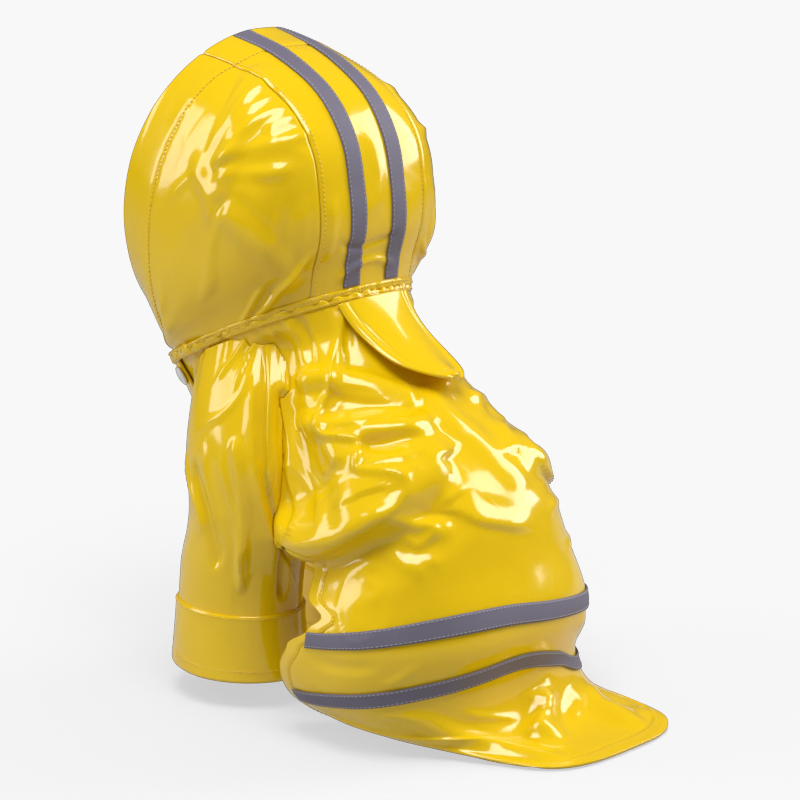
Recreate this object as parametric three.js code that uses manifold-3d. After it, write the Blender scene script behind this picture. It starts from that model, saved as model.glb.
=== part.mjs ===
// A hooded raincoat for a small dog, hollow, in the pose it takes on a dog that sits: hood up, front legs in
// two sleeves, and the long back panel flaring out behind on the floor.
// Millimetres, +Z up. The wearer faces -Y, so the wearer's left is +X. The tables below measure heights from
// the floor, and the whole group is then moved so that the origin is the middle of the neck opening.
import * as THREE from "three";
import { mergeVertices } from "three/addons/utils/BufferGeometryUtils.js";
import Module from "manifold-3d";

// Driving sizes
const WALL = 1.6; // coated cloth
const SEAM_GAP = 0.3; // between pieces that are sewn together
const SEAM_ANGLE = 0.3; // the same gap, in degrees round a section
const TAPE_WIDTH = 12;
const TAPE_THICKNESS = 0.8;
const TAPE_LIFT = 0.6; // clear of the cloth that it is sewn on
const NECK_BAND_WIDTH = 8;
const NECK_BAND_ENDS = { right: -160, left: 168 }; // degrees from the back
const NECK_BAND_RISE = { from: 96, to: 108 }; // degrees over which it rises onto the placket
const CUFF_OVERLAP = 6; // how far a cuff lies over the end of its sleeve
const HOOD_BAND_WIDTH = 85;
const HOOD_TAPE_INNER_EDGE = 10.5; // from the middle line of the hood
const HOOD_TAPE_START = 0.04; // row of the hood table
const HOOD_TAPE_MARGIN = 10.5; // from its end to the neck seam
const HOOD_REACH = 172; // degrees from the back to each front edge of the hood
const SIDE_SEAM_END = 3.7; // row of the body table at which the back panel's edge leaves the chest's
const CHEST_HEM = 4.05; // row of the body table at which the chest ends, behind the sleeves
const CORE_MARGIN = 0.15; // rows by which the body's cutting tool passes the chest's hem
const ARMHOLE_BOTTOM = 5.15; // row of the sleeve table
const UNDER_PLACKET_EDGE = 2; // the left chest panel ends here, under the right one
const PLACKET_LIFT = WALL + 3 * SEAM_GAP;
const PLACKET_RAMP = { from: -15, to: -1 }; // where the right chest panel rises over the left one
const ARMHOLE_TOP_MARGIN = 5; // body cloth left between the neck seam and the armhole
const SNAP_RADIUS = 6;
const SNAP_HEIGHT = 2.6;
const FLAP_LENGTH = 68;
const FLAP_WIDTH = 56;
const FLAP_TAPER = 12; // narrower at its end
const FLAP_SWING = 14; // its end lies to the wearer's right
const FLAP_TIP_LIFT = 11;
const FLAP_STRAIGHT = 0.55; // share of its length at full width
const FLAP_ROUNDING = 0.92; // 1 for a full half round at its end
const FLAP_CURVE = { swing: 1.3, lift: 1.5 }; // powers, above 1 where most of it comes near the end
const NECK_CENTRE = { y: 0, z: 219 };

const CLOTH_COLOUR = 0xe6bd00;
const TAPE_COLOUR = 0x7d7a88;
const SNAP_COLOUR = 0xe9e9ec;

// A table with named columns, a row for each section, place or fold
const named = (columns, row) => Object.fromEntries(columns.map((name, i) => [name, row[i]]));
const table = (columns, rows) => rows.map((row) => named(columns, row));
const SECTION = [
  ...["backY", "backZ", "frontY", "frontZ", "halfWidth"],
  ...["widest", "square", "frontSquare", "bow", "shift"],
];
const PLACE = ["angle", "at"];
const FOLD = ["fromAngle", "fromAt", "toAngle", "toAt", "bend", "height", "above", "below"];

// Sections of the hood, from the edge round the face to the neck seam. A section is a rounded ring in a plane
// that holds the left-right direction. back and front are its two points on the middle plane, widest is how
// far from back to front it is broadest, square is 2 for an ellipse, more for a boxier ring and less for a
// pointed one, behind and in front of its broadest place, bow moves its sides out of that plane, and shift
// moves it sideways.
const HOOD = table(SECTION, [
  [-24, 390, -62, 200, 70, 0.52, 2.2, 2.3, -26, 0],
  [10, 380, -64, 199, 75, 0.52, 2.4, 2.5, -12, 0],
  [44, 361, -65, 198, 77, 0.5, 2.9, 2.7, -4, 0],
  [63, 336, -66, 197, 76, 0.46, 3.2, 2.8, 0, 0],
  [70, 307, -68, 195, 74, 0.44, 3.1, 2.8, 0, 0],
  [71, 284, -70, 193, 70, 0.44, 3.0, 2.7, 0, 0],
  [66, 264, -72, 191, 65, 0.46, 2.9, 2.5, 0, 0],
  [65, 246, -73, 188, 61, 0.48, 2.6, 2.4, 0, 0],
]);

// Sections of the body, from the neck seam down the back to the hem on the floor
const BODY = table(SECTION, [
  [65, 246, -73, 188, 61, 0.48, 2.6, 2.4, 0, 0],
  [79, 226, -70, 166, 56, 0.42, 2.15, 2.1, 0, 0],
  [98, 202, -53, 138, 62, 0.36, 2.2, 1.8, 0, 0],
  [130, 174, -28, 112, 71, 0.34, 2.3, 1.6, 0, 0],
  [163, 140, 2, 94, 80, 0.36, 2.4, 1.8, 0, 0],
  [177, 102, 28, 76, 85, 0.4, 2.5, 2.2, 0, 0],
  [188, 66, 34, 60, 93, 0.44, 2.5, 2.5, 0, 0],
  [181, 34, 34, 28, 89, 0.46, 2.6, 2.6, 0, 0],
  [194, 9, 38, 9, 79, 0.46, 2.9, 2.6, 0, -12],
  [241, 1.6, 44, 1.6, 66, 0.42, 3.4, 2.6, 0, -27],
]);

// Where the back panel ends on each side, in degrees from the back, at rows of the body table: the seams to
// the chest, which run through the armholes, and then its hem
const BACK_EDGE = table(["at", "angle"], [
  [0, 98],
  [1, 100],
  [2, 116],
  [3, 132],
  [3.7, 142],
  [4.35, 105],
  [5.05, 105],
  [5.45, 95],
  [5.75, 101],
  [6.2, 112],
  [6.65, 117],
  [7.05, 116],
  [7.6, 118],
  [9, 117],
]);

// How far to the left of the middle line the right chest panel ends, in mm: it wraps over to the side of the
// neck, where its first snap is
const PLACKET_EDGE = table(["at", "left"], [
  [0, 63],
  [0.95, 61],
  [1.7, 22],
  [4.05, 18],
]);
const SNAPS = table(["at", "left"], [
  [0.64, 54],
  [1.8, 12],
  [2.85, 11],
]);

// Middle lines of the two tapes across the lower back, from the wearer's right to the left
const UPPER_TAPE = table(PLACE, [
  [-105, 6.1],
  [-75, 6.08],
  [-45, 5.98],
  [-15, 5.8],
  [12, 5.64],
  [42, 5.62],
  [74, 5.78],
  [101, 5.96],
]);
const LOWER_TAPE = table(PLACE, [
  [-112, 7.1],
  [-80, 7.15],
  [-44, 7.25],
  [-24, 6.85],
  [0, 6.58],
  [36, 6.68],
  [74, 6.95],
  [109, 7.18],
]);

// Sections of the left sleeve, from inside the shoulder to the cuff's edge: level ellipses
const SLEEVE = table(["z", "x", "y", "halfX", "halfY"], [
  [226, 30, 4, 26, 34],
  [212, 34, 7, 29, 38],
  [196, 40, 12, 32, 42],
  [175, 46, 16, 34, 44],
  [148, 52, 19, 33, 46],
  [113, 53, 17.5, 32, 42],
  [80, 52, 8.5, 33, 40.5],
  [51, 51, 5, 34, 41],
  [17, 50, 4, 37, 44],
]);
const CUFF_SEAM = 7; // row of the sleeve table

// The largest folds. Each is a ridge, or a trough where its height is negative, along a bent line between two
// places (degrees from the middle of the back, row of the section table), and above and below are its half
// widths in mm.
const BODY_FOLDS = table(FOLD, [
  [104, 4.1, 24, 3.42, 6, 9, 30, 14],
  [104, 4.62, 30, 3.95, 6, -5, 13, 26],
  [58, 1.65, 14, 2.33, -3, 4.5, 13, 12],
  [70, 2.4, 16, 2.8, 4, 5.5, 14, 11],
  [60, 2.95, 38, 3.4, 0, 4, 13, 12],
  [54, 3.98, 30, 4.2, 0, 3, 10, 10],
  [0, 2.6, -18, 3.7, 0, 3, 16, 16],
  [-104, 4.15, -34, 3.6, -4, 7, 26, 15],
  [-64, 2.1, -34, 2.6, 4, 2.5, 14, 12],
  [66, 0.9, 98, 3.6, 0, -6, 18, 22],
  [-66, 0.9, -98, 3.6, 0, -5, 18, 22],
  [-8, 7.5, 8, 8.1, 2, 6, 12, 12],
  [-36, 7.9, -30, 8.4, 0, 4.5, 14, 14],
  [45, 7.4, 30, 8.4, 0, 3, 14, 14],
]);
const SLEEVE_FOLDS = table(FOLD, [
  [30, 2.4, 8, 6.2, 5, -4.5, 10, 10],
  [68, 3.6, 50, 6.0, 0, 3, 9, 9],
  [112, 4.3, 78, 5.6, 0, -3, 10, 8],
  [-120, 3.5, -100, 6.2, 0, -3, 10, 10],
]);
const HOOD_FOLDS = table(FOLD, [
  [66, 2.4, 30, 1.2, 0, 2.5, 10, 12],
  [70, 3.0, 46, 6.0, 0, 2.5, 10, 12],
  [-64, 2.6, -44, 5.8, 0, 2.5, 12, 10],
]);
const MM_PER_DEGREE = 1.25; // round a section, nearly
const MM_PER_ROW = { hood: 30, body: 38, sleeve: 27 }; // down a section table, nearly

const wasm = await Module();
wasm.setup();

// A row of a table at a place between rows, counted from 0 at the first row
function rowAt(table, at) {
  const first = Math.min(Math.max(Math.floor(at), 0), table.length - 2);
  const t = at - first;
  const near = [-1, 0, 1, 2].map((step) => table[Math.min(Math.max(first + step, 0), table.length - 1)]);
  const row = {};
  for (const column of Object.keys(table[0])) {
    const [a, b, c, d] = near.map((r) => r[column]);
    const slopeB = (c - a) / 2;
    const slopeC = (d - b) / 2;
    const t2 = t * t;
    const t3 = t2 * t;
    const values = b * (2 * t3 - 3 * t2 + 1) + c * (3 * t2 - 2 * t3);
    row[column] = values + slopeB * (t3 - 2 * t2 + t) + slopeC * (t3 - t2);
  }
  return row;
}

// A point of a section, at an angle in degrees from the middle of the back towards the wearer's left
function ringPoint(row, angle) {
  const c = Math.cos((angle * Math.PI) / 180);
  const s = Math.sin((angle * Math.PI) / 180);
  const square = c >= 0 ? row.square : row.frontSquare;
  const k = Math.pow(Math.pow(Math.abs(c), square) + Math.pow(Math.abs(s), square), -1 / square);
  const depthY = row.frontY - row.backY;
  const depthZ = row.frontZ - row.backZ;
  const share = row.widest - (c >= 0 ? row.widest : 1 - row.widest) * c * k;
  const depth = Math.hypot(depthY, depthZ);
  const bow = row.bow * s * s;
  return new THREE.Vector3(
    row.halfWidth * s * k + row.shift,
    row.backY + depthY * share - (bow * depthZ) / depth,
    row.backZ + depthZ * share + (bow * depthY) / depth,
  );
}

// The direction out of a surface at a place
function outward(surface, angle, at) {
  const step = 0.02;
  const across = surface(angle + 20 * step, at).sub(surface(angle - 20 * step, at));
  const down = surface(angle, at + step).sub(surface(angle, at - step));
  return across.cross(down).normalize();
}

// How far the folds of a table raise the cloth at a place
function foldLift(folds, mmPerRow, angle, at) {
  let lift = 0;
  for (const fold of folds) {
    const runX = (fold.toAngle - fold.fromAngle) * MM_PER_DEGREE;
    const runY = (fold.toAt - fold.fromAt) * mmPerRow;
    const length = Math.hypot(runX, runY);
    const x = (angle - fold.fromAngle) * MM_PER_DEGREE;
    const y = (at - fold.fromAt) * mmPerRow;
    const along = (x * runX + y * runY) / length;
    const t = THREE.MathUtils.clamp(along / length, 0, 1);
    const bend = fold.bend * 4 * t * (1 - t);
    const side = (y * Math.abs(runX) - x * runY * Math.sign(runX || 1)) / length - bend;
    const past = along - t * length;
    const width = side < 0 ? fold.above : fold.below;
    const away = Math.hypot(side, past) / width;
    if (away < 1) lift += fold.height * (1 - away * away) ** 2;
  }
  return lift;
}

// A surface raised by its folds
const folded = (plain, folds, mmPerRow) => (angle, at) =>
  plain(angle, at).addScaledVector(outward(plain, angle, at), foldLift(folds, mmPerRow, angle, at));

const sectionSurface = (table) => (angle, at) => ringPoint(rowAt(table, at), angle);

function levelEllipse(angle, at) {
  const row = rowAt(SLEEVE, at);
  const a = (angle * Math.PI) / 180;
  return new THREE.Vector3(row.x + row.halfX * Math.sin(a), row.y + row.halfY * Math.cos(a), row.z);
}

const hoodSurface = folded(sectionSurface(HOOD), HOOD_FOLDS, MM_PER_ROW.hood);
const bodySurface = folded(sectionSurface(BODY), BODY_FOLDS, MM_PER_ROW.body);
const leftSleeve = folded(levelEllipse, SLEEVE_FOLDS, MM_PER_ROW.sleeve);
const mirrored = (surface) => (angle, at) => surface(-angle, at).multiply(new THREE.Vector3(-1, 1, 1));

const flat = () => 0;
const inner = () => -WALL;

// A closed sheet between two distances out from a surface, over a patch of it. Angles run from a start to an
// end that may change with the row, and low and high may change from place to place.
function sheet({ surface, from, to, start, end, columns, rows, low = inner, high = flat, ring = false }) {
  const positions = [];
  const count = ring ? columns : columns + 1;
  for (const lift of [high, low])
    for (let i = 0; i <= rows; i++) {
      const at = start + ((end - start) * i) / rows;
      for (let j = 0; j < count; j++) {
        const angle = THREE.MathUtils.lerp(from(at), to(at), j / columns);
        const p = surface(angle, at).addScaledVector(outward(surface, angle, at), lift(angle, at));
        positions.push(p.x, p.y, p.z);
      }
    }
  const index = [];
  const layer = (rows + 1) * count;
  const node = (i, j) => i * count + (j % count);
  const quad = (a, b, c, d) => index.push(a, c, b, a, d, c);
  for (let i = 0; i < rows; i++)
    for (let j = 0; j < columns; j++) {
      const [a, b, c, d] = [node(i, j), node(i + 1, j), node(i + 1, j + 1), node(i, j + 1)];
      quad(a, b, c, d);
      quad(layer + d, layer + c, layer + b, layer + a);
    }
  for (let j = 0; j < columns; j++) {
    const [a, b, c, d] = [node(0, j), node(0, j + 1), node(rows, j), node(rows, j + 1)];
    quad(a, b, layer + b, layer + a);
    quad(d, c, layer + c, layer + d);
  }
  if (!ring)
    for (let i = 0; i < rows; i++) {
      const [a, b, c, d] = [node(i, 0), node(i + 1, 0), node(i, columns), node(i + 1, columns)];
      quad(b, a, layer + a, layer + b);
      quad(c, d, layer + d, layer + c);
    }
  return closedGeometry(positions, index);
}

// A closed solid inside a surface over all angles, with flat ends: only a tool for cutting
function core({ surface, start, end, columns, rows, lift }) {
  const positions = [];
  const index = [];
  for (let i = 0; i <= rows; i++) {
    const at = start + ((end - start) * i) / rows;
    for (let j = 0; j < columns; j++) {
      const angle = -180 + (360 * j) / columns;
      const p = surface(angle, at).addScaledVector(outward(surface, angle, at), lift);
      positions.push(p.x, p.y, p.z);
    }
  }
  const ends = [0, rows].map((i) => {
    const middle = new THREE.Vector3();
    for (let j = 0; j < columns; j++) {
      middle.add(new THREE.Vector3().fromArray(positions, 3 * (i * columns + j)));
    }
    positions.push(...middle.divideScalar(columns).toArray());
    return positions.length / 3 - 1;
  });
  for (let j = 0; j < columns; j++) {
    const k = (j + 1) % columns;
    for (let i = 0; i < rows; i++) {
      const [a, b, c, d] = [i * columns + j, (i + 1) * columns + j, (i + 1) * columns + k, i * columns + k];
      index.push(a, c, b, a, d, c);
    }
    index.push(ends[0], k, j);
    index.push(ends[1], rows * columns + j, rows * columns + k);
  }
  return closedGeometry(positions, index);
}

function closedGeometry(positions, index) {
  const geometry = new THREE.BufferGeometry();
  geometry.setAttribute("position", new THREE.Float32BufferAttribute(positions, 3));
  geometry.setIndex(index);
  return geometry;
}

function toSolid(geometry) {
  const plain = geometry.clone();
  for (const name of Object.keys(plain.attributes)) if (name !== "position") plain.deleteAttribute(name);
  const merged = mergeVertices(plain, 1e-4);
  return new wasm.Manifold(
    new wasm.Mesh({
      numProp: 3,
      vertProperties: new Float32Array(merged.attributes.position.array),
      triVerts: new Uint32Array(merged.index.array),
    }),
  );
}

function toGeometry(solid) {
  const mesh = solid.getMesh();
  return closedGeometry(Array.from(mesh.vertProperties), Array.from(mesh.triVerts));
}

// The angle that lies a given length of cloth along a section from another angle
function angleAtLength(table, at, from, length) {
  const row = rowAt(table, at);
  const step = 0.25 * Math.sign(length);
  let angle = from;
  let left = Math.abs(length);
  let last = ringPoint(row, angle);
  while (left > 0) {
    angle += step;
    const next = ringPoint(row, angle);
    left -= next.distanceTo(last);
    last = next;
  }
  return angle;
}

// The row that lies a given length of cloth from another row, at an angle, towards the end of the table or
// back
function rowAtLength(surface, angle, from, length) {
  const step = 0.02 * Math.sign(length);
  let at = from;
  let left = Math.abs(length);
  let last = surface(angle, at);
  for (;;) {
    const next = surface(angle, at + step);
    const moved = next.distanceTo(last);
    if (moved >= left) return at + (step * left) / moved;
    at += step;
    left -= moved;
    last = next;
  }
}

// A column's value at a row between two places of a table, eased from one to the next
function between(table, at, column) {
  const next = table.findIndex((row) => row.at >= at);
  if (next <= 0) return table[Math.max(next, 0)][column];
  const [a, b] = [table[next - 1], table[next]];
  return THREE.MathUtils.lerp(a[column], b[column], THREE.MathUtils.smoothstep(at, a.at, b.at));
}

const cloth = new THREE.MeshStandardMaterial({ color: CLOTH_COLOUR, roughness: 0.18, metalness: 0 });
const tape = new THREE.MeshStandardMaterial({ color: TAPE_COLOUR, roughness: 0.55, metalness: 0.2 });
const snap = new THREE.MeshStandardMaterial({ color: SNAP_COLOUR, roughness: 0.25, metalness: 0 });

const raincoat = new THREE.Group();
raincoat.position.set(0, -NECK_CENTRE.y, -NECK_CENTRE.z);
function add(name, geometry, material) {
  const mesh = new THREE.Mesh(geometry, material);
  mesh.name = name;
  raincoat.add(mesh);
}

const lastHood = HOOD.length - 1;
const lastBody = BODY.length - 1;
const SIDES = [
  { side: "left", sign: 1 },
  { side: "right", sign: -1 },
];

// Half spaces on either side of the flat neck seam, a margin below it or above it
const neck = BODY[0];
const neckDown = new THREE.Vector3(0, neck.backZ - neck.frontZ, neck.frontY - neck.backY).normalize();
function besideNeck(direction, margin) {
  const reach = 700;
  const block = new THREE.BoxGeometry(reach, reach, reach);
  const turn = new THREE.Quaternion().setFromUnitVectors(new THREE.Vector3(0, 0, -1), direction);
  const centre = new THREE.Vector3(0, neck.backY, neck.backZ).addScaledVector(direction, margin + reach / 2);
  block.applyQuaternion(turn);
  block.translate(centre.x, centre.y, centre.z);
  return toSolid(block);
}
const belowNeck = (margin) => besideNeck(neckDown, margin);
const aboveNeck = (margin) => besideNeck(neckDown.clone().negate(), margin);
const hoodRoom = aboveNeck(SEAM_GAP / 2);
const bodyRoom = belowNeck(SEAM_GAP / 2);
const within = (room, geometry) => toGeometry(toSolid(geometry).intersect(room));

// Hood: a centre band from the brow to the nape between two side panels, with two tapes sewn on the band
const hoodBandEdge = (at) => angleAtLength(HOOD, at, 0, HOOD_BAND_WIDTH / 2);
const hoodRows = { surface: hoodSurface, start: 0, end: lastHood };
const hoodBand = { ...hoodRows, from: (at) => -hoodBandEdge(at), to: hoodBandEdge, columns: 8, rows: 18 };
add("hood_centre", within(hoodRoom, sheet(hoodBand)), cloth);
for (const { side, sign } of SIDES) {
  const inner = (at) => sign * (hoodBandEdge(at) + SEAM_ANGLE);
  const outer = () => sign * HOOD_REACH;
  const [from, to] = sign > 0 ? [inner, outer] : [outer, inner];
  add("hood_side_" + side, within(hoodRoom, sheet({ ...hoodRows, from, to, columns: 12, rows: 15 })), cloth);
}
const onCloth = { low: () => TAPE_LIFT, high: () => TAPE_LIFT + TAPE_THICKNESS };
const hoodTapeEnd = lastHood - HOOD_TAPE_MARGIN / MM_PER_ROW.hood;
for (const { side, sign } of SIDES) {
  const inner = (at) => sign * angleAtLength(HOOD, at, 0, HOOD_TAPE_INNER_EDGE);
  const outer = (at) => sign * angleAtLength(HOOD, at, 0, HOOD_TAPE_INNER_EDGE + TAPE_WIDTH);
  const [from, to] = sign > 0 ? [inner, outer] : [outer, inner];
  const patch = { surface: hoodSurface, from, to, start: HOOD_TAPE_START, end: hoodTapeEnd };
  add("hood_tape_" + side, sheet({ ...patch, columns: 1, rows: 24, ...onCloth }), tape);
}

// Body and sleeves. A sleeve starts on the body's outer face, and inside it the body's cloth is cut away.
const backEdge = (at) => between(BACK_EDGE, at, "angle");
const chestSeam = (at) => backEdge(Math.min(at, SIDE_SEAM_END)) + SEAM_ANGLE;
function placketLift(angle, at) {
  const { x } = bodySurface(angle, at);
  return PLACKET_LIFT * THREE.MathUtils.smoothstep(x, PLACKET_RAMP.from, PLACKET_RAMP.to);
}
const placketEdge = (at) => between(PLACKET_EDGE, at, "left");
const chestRows = { start: 0, end: CHEST_HEM, rows: 13 };
const underPlacket = (at) => angleAtLength(BODY, at, 180, -UNDER_PLACKET_EDGE);
const PANELS = [
  {
    name: "back_panel",
    from: (at) => -backEdge(at),
    to: backEdge,
    columns: 34,
    start: 0,
    end: lastBody,
    rows: 38,
  },
  { name: "chest_left", from: chestSeam, to: underPlacket, columns: 8, ...chestRows },
  {
    name: "chest_right",
    from: (at) => angleAtLength(BODY, at, -180, -placketEdge(at)),
    to: (at) => -chestSeam(at),
    columns: 16,
    ...chestRows,
    rise: placketLift,
  },
];
function panelSheet({ name, rise = flat, ...patch }, gap) {
  const low = (angle, at) => rise(angle, at) - WALL;
  const high = (angle, at) => rise(angle, at) + gap;
  return toSolid(sheet({ surface: bodySurface, ...patch, low, high }));
}
const panelRooms = PANELS.map((panel) => panelSheet(panel, SEAM_GAP));
const coreRows = { surface: bodySurface, start: 0, end: CHEST_HEM + CORE_MARGIN, rows: 40 };
const bodyCore = toSolid(core({ ...coreRows, columns: 90, lift: SEAM_GAP }));
const sleeveRoom = belowNeck(ARMHOLE_TOP_MARGIN);
const armholes = [];
for (const { side, sign } of SIDES) {
  const surface = sign > 0 ? leftSleeve : mirrored(leftSleeve);
  const wall = { surface, from: () => -180, to: () => 180, columns: 22, ring: true };
  const tube = toSolid(sheet({ ...wall, start: 0, end: CUFF_SEAM, rows: 13 }));
  const onBody = [bodyCore, ...panelRooms].reduce((solid, room) => solid.subtract(room), tube);
  add("sleeve_" + side, toGeometry(onBody.intersect(sleeveRoom)), cloth);
  const hollow = core({ surface, start: 0, end: ARMHOLE_BOTTOM, columns: 22, rows: 10, lift: -WALL });
  armholes.push(toSolid(hollow).intersect(sleeveRoom));
  const cuffTop = CUFF_SEAM - CUFF_OVERLAP / MM_PER_ROW.sleeve;
  const cuff = { ...wall, start: cuffTop, end: SLEEVE.length - 1, rows: 3 };
  add("cuff_" + side, sheet({ ...cuff, low: () => SEAM_GAP, high: () => SEAM_GAP + WALL }), cloth);
}
for (const panel of PANELS) {
  const whole = panelSheet(panel, 0).intersect(bodyRoom);
  const cut = armholes.reduce((solid, hollow) => solid.subtract(hollow), whole);
  add(panel.name, toGeometry(cut), cloth);
}

// Neck band: a bias strip over the seam between hood and body, half of its width on each. On the left it
// rises over the wrapped chest.
const half = NECK_BAND_WIDTH / 2;
function bandLift(angle) {
  return SEAM_GAP + PLACKET_LIFT * THREE.MathUtils.smoothstep(angle, NECK_BAND_RISE.from, NECK_BAND_RISE.to);
}
function neckBandSurface(angle, at) {
  if (at < 0) return hoodSurface(angle, rowAtLength(hoodSurface, angle, lastHood, at));
  if (at > 0) return bodySurface(angle, rowAtLength(bodySurface, angle, 0, at));
  return bodySurface(angle, 0);
}
add(
  "neck_band",
  sheet({
    surface: neckBandSurface,
    from: () => NECK_BAND_ENDS.right,
    to: () => NECK_BAND_ENDS.left,
    start: -half,
    end: half,
    columns: 44,
    rows: 2,
    low: bandLift,
    high: (angle) => bandLift(angle) + TAPE_THICKNESS,
  }),
  cloth,
);

// Tapes across the lower back. Their tables have a place about every 20 degrees, and that is the unit along
// them.
const PLACE_STEP = 20;
const TAIL_TAPES = { tail_tape_upper: UPPER_TAPE, tail_tape_lower: LOWER_TAPE };
for (const [name, places] of Object.entries(TAIL_TAPES)) {
  const surface = (along, across) => {
    const place = rowAt(places, along / PLACE_STEP);
    return bodySurface(place.angle, place.at + across / MM_PER_ROW.body);
  };
  const length = (places.length - 1) * PLACE_STEP;
  const patch = { surface, from: () => 0, to: () => length, start: -TAPE_WIDTH / 2, end: TAPE_WIDTH / 2 };
  add(name, sheet({ ...patch, columns: 40, rows: 1, ...onCloth }), tape);
}

// Flap over the leash opening: a tongue sewn at the neck band, whose end stands off the back
function flapSurface(across, along) {
  const share = Math.max(along / FLAP_LENGTH, 0);
  const rounding = Math.max(share - FLAP_STRAIGHT, 0) / (1 - FLAP_STRAIGHT);
  const half = ((FLAP_WIDTH - FLAP_TAPER * share) / 2) * Math.sqrt(1 - FLAP_ROUNDING * rounding ** 2);
  const aside = across * half - FLAP_SWING * share ** FLAP_CURVE.swing;
  const at = rowAtLength(bodySurface, 0, 0, NECK_BAND_WIDTH / 2 + 2 * SEAM_GAP + along);
  const angle = angleAtLength(BODY, at, 0, aside);
  const lift = PLACKET_LIFT + FLAP_TIP_LIFT * share ** FLAP_CURVE.lift;
  return bodySurface(angle, at).addScaledVector(outward(bodySurface, angle, at), lift);
}
const flapPatch = { surface: flapSurface, from: () => -1, to: () => 1, start: 0, end: FLAP_LENGTH };
add("leash_flap", sheet({ ...flapPatch, columns: 10, rows: 10 }), cloth);

// Snaps down the placket: a domed cap on each, turned from shares of its radius and height
const SNAP_PROFILE = table(["radius", "height"], [[0, 0], [1, 0], [1, 0.35], [0.8, 0.8], [0.35, 1], [0, 1]]);
SNAPS.forEach(({ at, left }, i) => {
  const profile = SNAP_PROFILE.map((p) => new THREE.Vector2(p.radius * SNAP_RADIUS, p.height * SNAP_HEIGHT));
  const cap = new THREE.LatheGeometry(profile, 16);
  const angle = angleAtLength(BODY, at, 180, -left);
  const out = outward(bodySurface, angle, at);
  const centre = bodySurface(angle, at).addScaledVector(out, PLACKET_LIFT + 2 * SEAM_GAP);
  cap.applyQuaternion(new THREE.Quaternion().setFromUnitVectors(new THREE.Vector3(0, 1, 0), out));
  cap.translate(centre.x, centre.y, centre.z);
  add("snap_" + (i + 1), toGeometry(toSolid(cap)), snap);
});

export default raincoat;
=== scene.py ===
# Looks of a small hooded raincoat: glossy coated cloth with its creases, hems and stitches, reflective tapes
# and plastic snaps. The tables give millimetres, with heights from the floor on which the coat trails. The
# meshes are made in metres around the middle of the neck opening, as the solids are.
import math
from collections import namedtuple

import bpy
import numpy as np
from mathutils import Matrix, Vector


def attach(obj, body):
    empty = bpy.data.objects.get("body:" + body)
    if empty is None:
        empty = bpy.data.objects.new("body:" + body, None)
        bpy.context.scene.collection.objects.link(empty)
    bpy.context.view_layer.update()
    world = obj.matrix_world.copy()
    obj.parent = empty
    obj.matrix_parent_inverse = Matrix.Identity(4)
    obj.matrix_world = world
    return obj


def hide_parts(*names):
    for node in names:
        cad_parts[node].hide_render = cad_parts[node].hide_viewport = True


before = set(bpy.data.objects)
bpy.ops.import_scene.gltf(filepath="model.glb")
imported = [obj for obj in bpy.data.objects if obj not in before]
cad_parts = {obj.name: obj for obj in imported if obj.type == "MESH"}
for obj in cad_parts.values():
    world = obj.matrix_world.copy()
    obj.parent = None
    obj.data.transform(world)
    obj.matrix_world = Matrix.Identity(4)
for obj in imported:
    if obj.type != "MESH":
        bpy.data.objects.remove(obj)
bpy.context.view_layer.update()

# Sizes of the cut, in millimetres
WALL = 1.2
SEAM_GAP = 0.3
TAPE_WIDTH = 12
TAPE_THICKNESS = 0.6
TAPE_LIFT = 0.35
HOOD_HEM = 28
HOOD_BAND_WIDTH = 85
HOOD_TAPE_INNER_EDGE = 10.5
HOOD_TAPE_MARGIN = 10.5
NECK_BAND_WIDTH = 8
BACK_HEM = 11
CUFF_OVERLAP = 6
ARMHOLE_TOP_MARGIN = 5
TAIL_TAPE_RISE = 0.3
STITCH_LIFT = 0.1
UNDER_PLACKET_EDGE = 2
PLACKET_LIFT = 2.5
PLACKET_RAMP = (-15, -1)
FLAP_LENGTH = 68
FLAP_WIDTH = 56
FLAP_TAPER = 12
FLAP_SWING = 14
FLAP_TIP_LIFT = 11
FLAP_SEAM = 5
NECK_CENTRE = np.array([0, 0, 219.0])
FLOOR_GAP = 0.6

# How the flap's end is rounded, swung aside and lifted, and the share of a seam that its stitches cover
FLAP_STRAIGHT = 0.55
FLAP_ROUNDING = 0.92
FLAP_SWING_POWER = 1.3
FLAP_LIFT_POWER = 1.5
STITCH_SHARE = 0.68

# Places round a section, in degrees from the middle of the back towards the wearer's left
HOOD_REACH = 172
NECK_BAND_ENDS = (-160, 168)
NECK_BAND_RISE = (96, 108)

# Places along the coat, in rows of the section tables
HOOD_TAPE_START = 0.04
HOOD_LAST = 7
SIDE_SEAM_END = 3.7
CHEST_HEM = 4.05
BODY_LAST = 9
CORE_MARGIN = 0.15
PANEL_TOOL_ROWS = (0.5, 7)
ARMHOLE_BOTTOM = 5.15
CUFF_SEAM = 7
SLEEVE_LAST = 8

# Millimetres of cloth for a degree and for a row
MM_PER_DEGREE = 1.25
ROW_MM = {"hood": 30, "body": 38, "sleeve": 27}
CUFF_ROW_MM = 34
CUFF_START = CUFF_SEAM - CUFF_OVERLAP / ROW_MM["sleeve"]
CUFF_STITCHES = (CUFF_START + 0.05, CUFF_START + 0.95)

# Where the back's mesh is finer, across its deepest fold: share of the rows or columns, width and gain
BACK_FINER_ROWS = [(0.33, 0.16, 1.0)]
BACK_FINER_COLUMNS = [(0.73, 0.12, 1.0)]

# Gathers along a sewn edge: period in millimetres and share of the depth
GATHERS = [(11, 1), (7.3, 0.8), (17, 0.6)]

# A stitch's shape: place along it, width and height in radii of the thread
STITCH = [(-0.5, 0.25, -1.1), (-0.34, 0.9, -0.25), (0, 1.0, 0), (0.34, 0.9, -0.25), (0.5, 0.25, -1.1)]

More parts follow.
